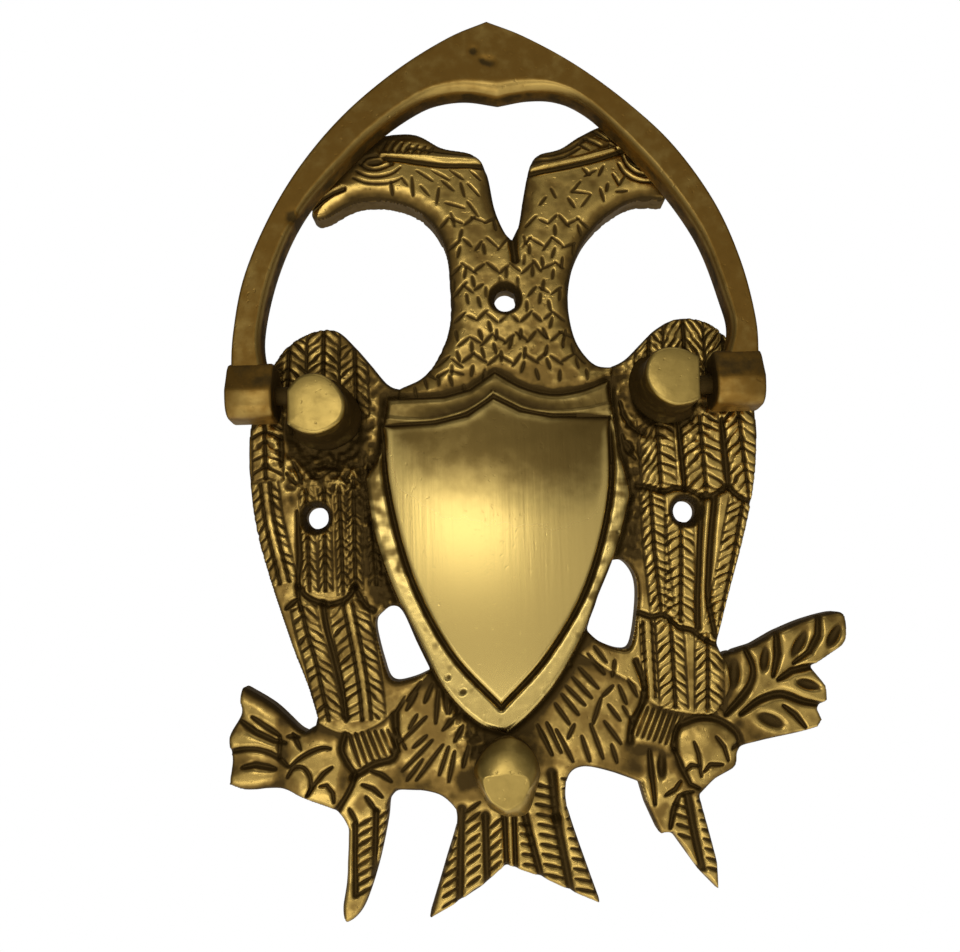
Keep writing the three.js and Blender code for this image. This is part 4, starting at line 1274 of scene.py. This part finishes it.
# Each brass: its colour where worn and in between, how dark a plain face is made, and how rough.
MATERIALS = {
    "aged_brass": aged_brass("aged_brass", (0.64, 0.43, 0.115), (0.25, 0.152, 0.038), 0.0, 0.25),
    "bail_brass": aged_brass("bail_brass", (0.50, 0.33, 0.09), (0.28, 0.152, 0.029), -0.1, 0.35),
    "bare_brass": aged_brass("bare_brass", (0.56, 0.39, 0.105), (0.30, 0.20, 0.05), -0.15, 0.30),
    "pin_brass": aged_brass("pin_brass", (0.40, 0.27, 0.08), (0.18, 0.12, 0.035), 0.2, 0.40),
    "shield_brass": aged_brass("shield_brass", (0.74, 0.54, 0.17), (0.20, 0.13, 0.035), -0.25, 0.27, True),
}
for piece in list(bpy.context.scene.objects):
    if piece.type == "MESH" and piece.get("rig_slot") in MATERIALS and not piece.hide_render:
        kind = "shield_brass" if piece.name == "plate_shield" else piece["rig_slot"]
        piece.data.materials.append(MATERIALS[kind])
        if kind == "shield_brass":
            piece.data.materials.append(MATERIALS["aged_brass"])


# ---- Studio ----
# How bright the room is, from straight down (0) through level (0.5) to straight up (1).
ROOM_LIGHT = [
    (0.0, 0.25), (0.35, 0.46), (0.5, 0.62), (0.54, 0.52), (0.6, 0.34), (0.66, 0.30), (0.76, 0.22),
    (1.0, 0.3)]


def studio():
    """A white backdrop, and a room that is dim above and bright low in front."""
    scene = bpy.context.scene
    scene.view_settings.view_transform = "Standard"
    world = bpy.data.worlds.new("studio")
    scene.world = world
    world.use_nodes = True
    nodes, links = world.node_tree.nodes, world.node_tree.links
    nodes.clear()
    out = nodes.new("ShaderNodeOutputWorld")
    plain = nodes.new("ShaderNodeBackground")
    plain.inputs["Color"].default_value = (1, 1, 1, 1)
    room = nodes.new("ShaderNodeBackground")
    path = nodes.new("ShaderNodeLightPath")
    mix = nodes.new("ShaderNodeMixShader")
    coordinate = nodes.new("ShaderNodeTexCoord")
    split = nodes.new("ShaderNodeSeparateXYZ")
    ramp = nodes.new("ShaderNodeValToRGB")
    links.new(coordinate.outputs["Generated"], split.inputs[0])
    links.new(map_range(world.node_tree, split.outputs["Z"], -1, 1, kind="LINEAR"), ramp.inputs["Fac"])
    ramp.color_ramp.elements[0].position = ROOM_LIGHT[0][0]
    ramp.color_ramp.elements[1].position = ROOM_LIGHT[-1][0]
    for at, _ in ROOM_LIGHT[1:-1]:
        ramp.color_ramp.elements.new(at)
    for element, (_, level) in zip(ramp.color_ramp.elements, ROOM_LIGHT):
        element.color = (level, level * 0.98, level * 0.93, 1)
    links.new(ramp.outputs["Color"], room.inputs["Color"])
    ahead = map_range(world.node_tree, split.outputs["Y"], -0.95, -0.45, 1.0, 0.5)
    links.new(ahead, room.inputs["Strength"])
    either = nodes.new("ShaderNodeMath")
    either.operation = "MAXIMUM"
    links.new(path.outputs["Is Camera Ray"], either.inputs[0])
    links.new(path.outputs["Is Diffuse Ray"], either.inputs[1])
    links.new(either.outputs[0], mix.inputs[0])
    links.new(room.outputs[0], mix.inputs[1])
    links.new(plain.outputs[0], mix.inputs[2])
    links.new(mix.outputs[0], out.inputs["Surface"])


def soft_light(name, place, target, size, power):
    """A lamp with a face of this size that shines at the target; the camera does not see it."""
    data = bpy.data.lights.new(name, "AREA")
    data.shape = "RECTANGLE"
    data.size, data.size_y = size
    data.energy = power
    light = bpy.data.objects.new(name, data)
    light.location = place
    light.rotation_euler = (Vector(target) - Vector(place)).to_track_quat("-Z", "Y").to_euler()
    light.visible_camera = False
    bpy.context.scene.collection.objects.link(light)


def camera():
    """Looks at the front from 22 cm away, a little from below and slightly rolled."""
    data = bpy.data.cameras.new("camera")
    data.sensor_width = 36
    data.lens = CAMERA_LENS
    data.clip_start = 0.005
    eye = bpy.data.objects.new("camera", data)
    forward = Vector((0, math.cos(CAMERA_PITCH), math.sin(CAMERA_PITCH)))
    right = Vector((1, 0, 0))
    up = right.cross(forward)
    side = math.cos(CAMERA_ROLL) * right - math.sin(CAMERA_ROLL) * up
    top = math.sin(CAMERA_ROLL) * right + math.cos(CAMERA_ROLL) * up
    turn = Matrix((side, top, -forward)).transposed()
    eye.matrix_world = Matrix.Translation(CAMERA_PLACE) @ turn.to_4x4()
    bpy.context.scene.collection.objects.link(eye)
    bpy.context.scene.camera = eye


def floor():
    """A plain pale surface below the knocker."""
    bpy.ops.mesh.primitive_plane_add(size=0.7, location=(0, 0, -0.30))
    plane = bpy.context.object
    plane.name = "floor"
    pale = bpy.data.materials.new("floor")
    pale.use_nodes = True
    pale.node_tree.nodes["Principled BSDF"].inputs["Base Color"].default_value = (0.85, 0.85, 0.84, 1)
    pale.node_tree.nodes["Principled BSDF"].inputs["Roughness"].default_value = 0.8
    plane.data.materials.append(pale)


studio()
floor()
camera()
soft_light("low_front", (-0.1, -0.5, -0.40), (0, 0, -0.02), (0.5, 0.3), 0.8)
soft_light("top", (0.1, -0.25, 0.6), (0, 0, 0.03), (0.5, 0.5), 0.25)
soft_light("behind_camera", (-0.06, -0.6, 0.065), (0, 0, 0), (0.24, 0.16), 0.27)
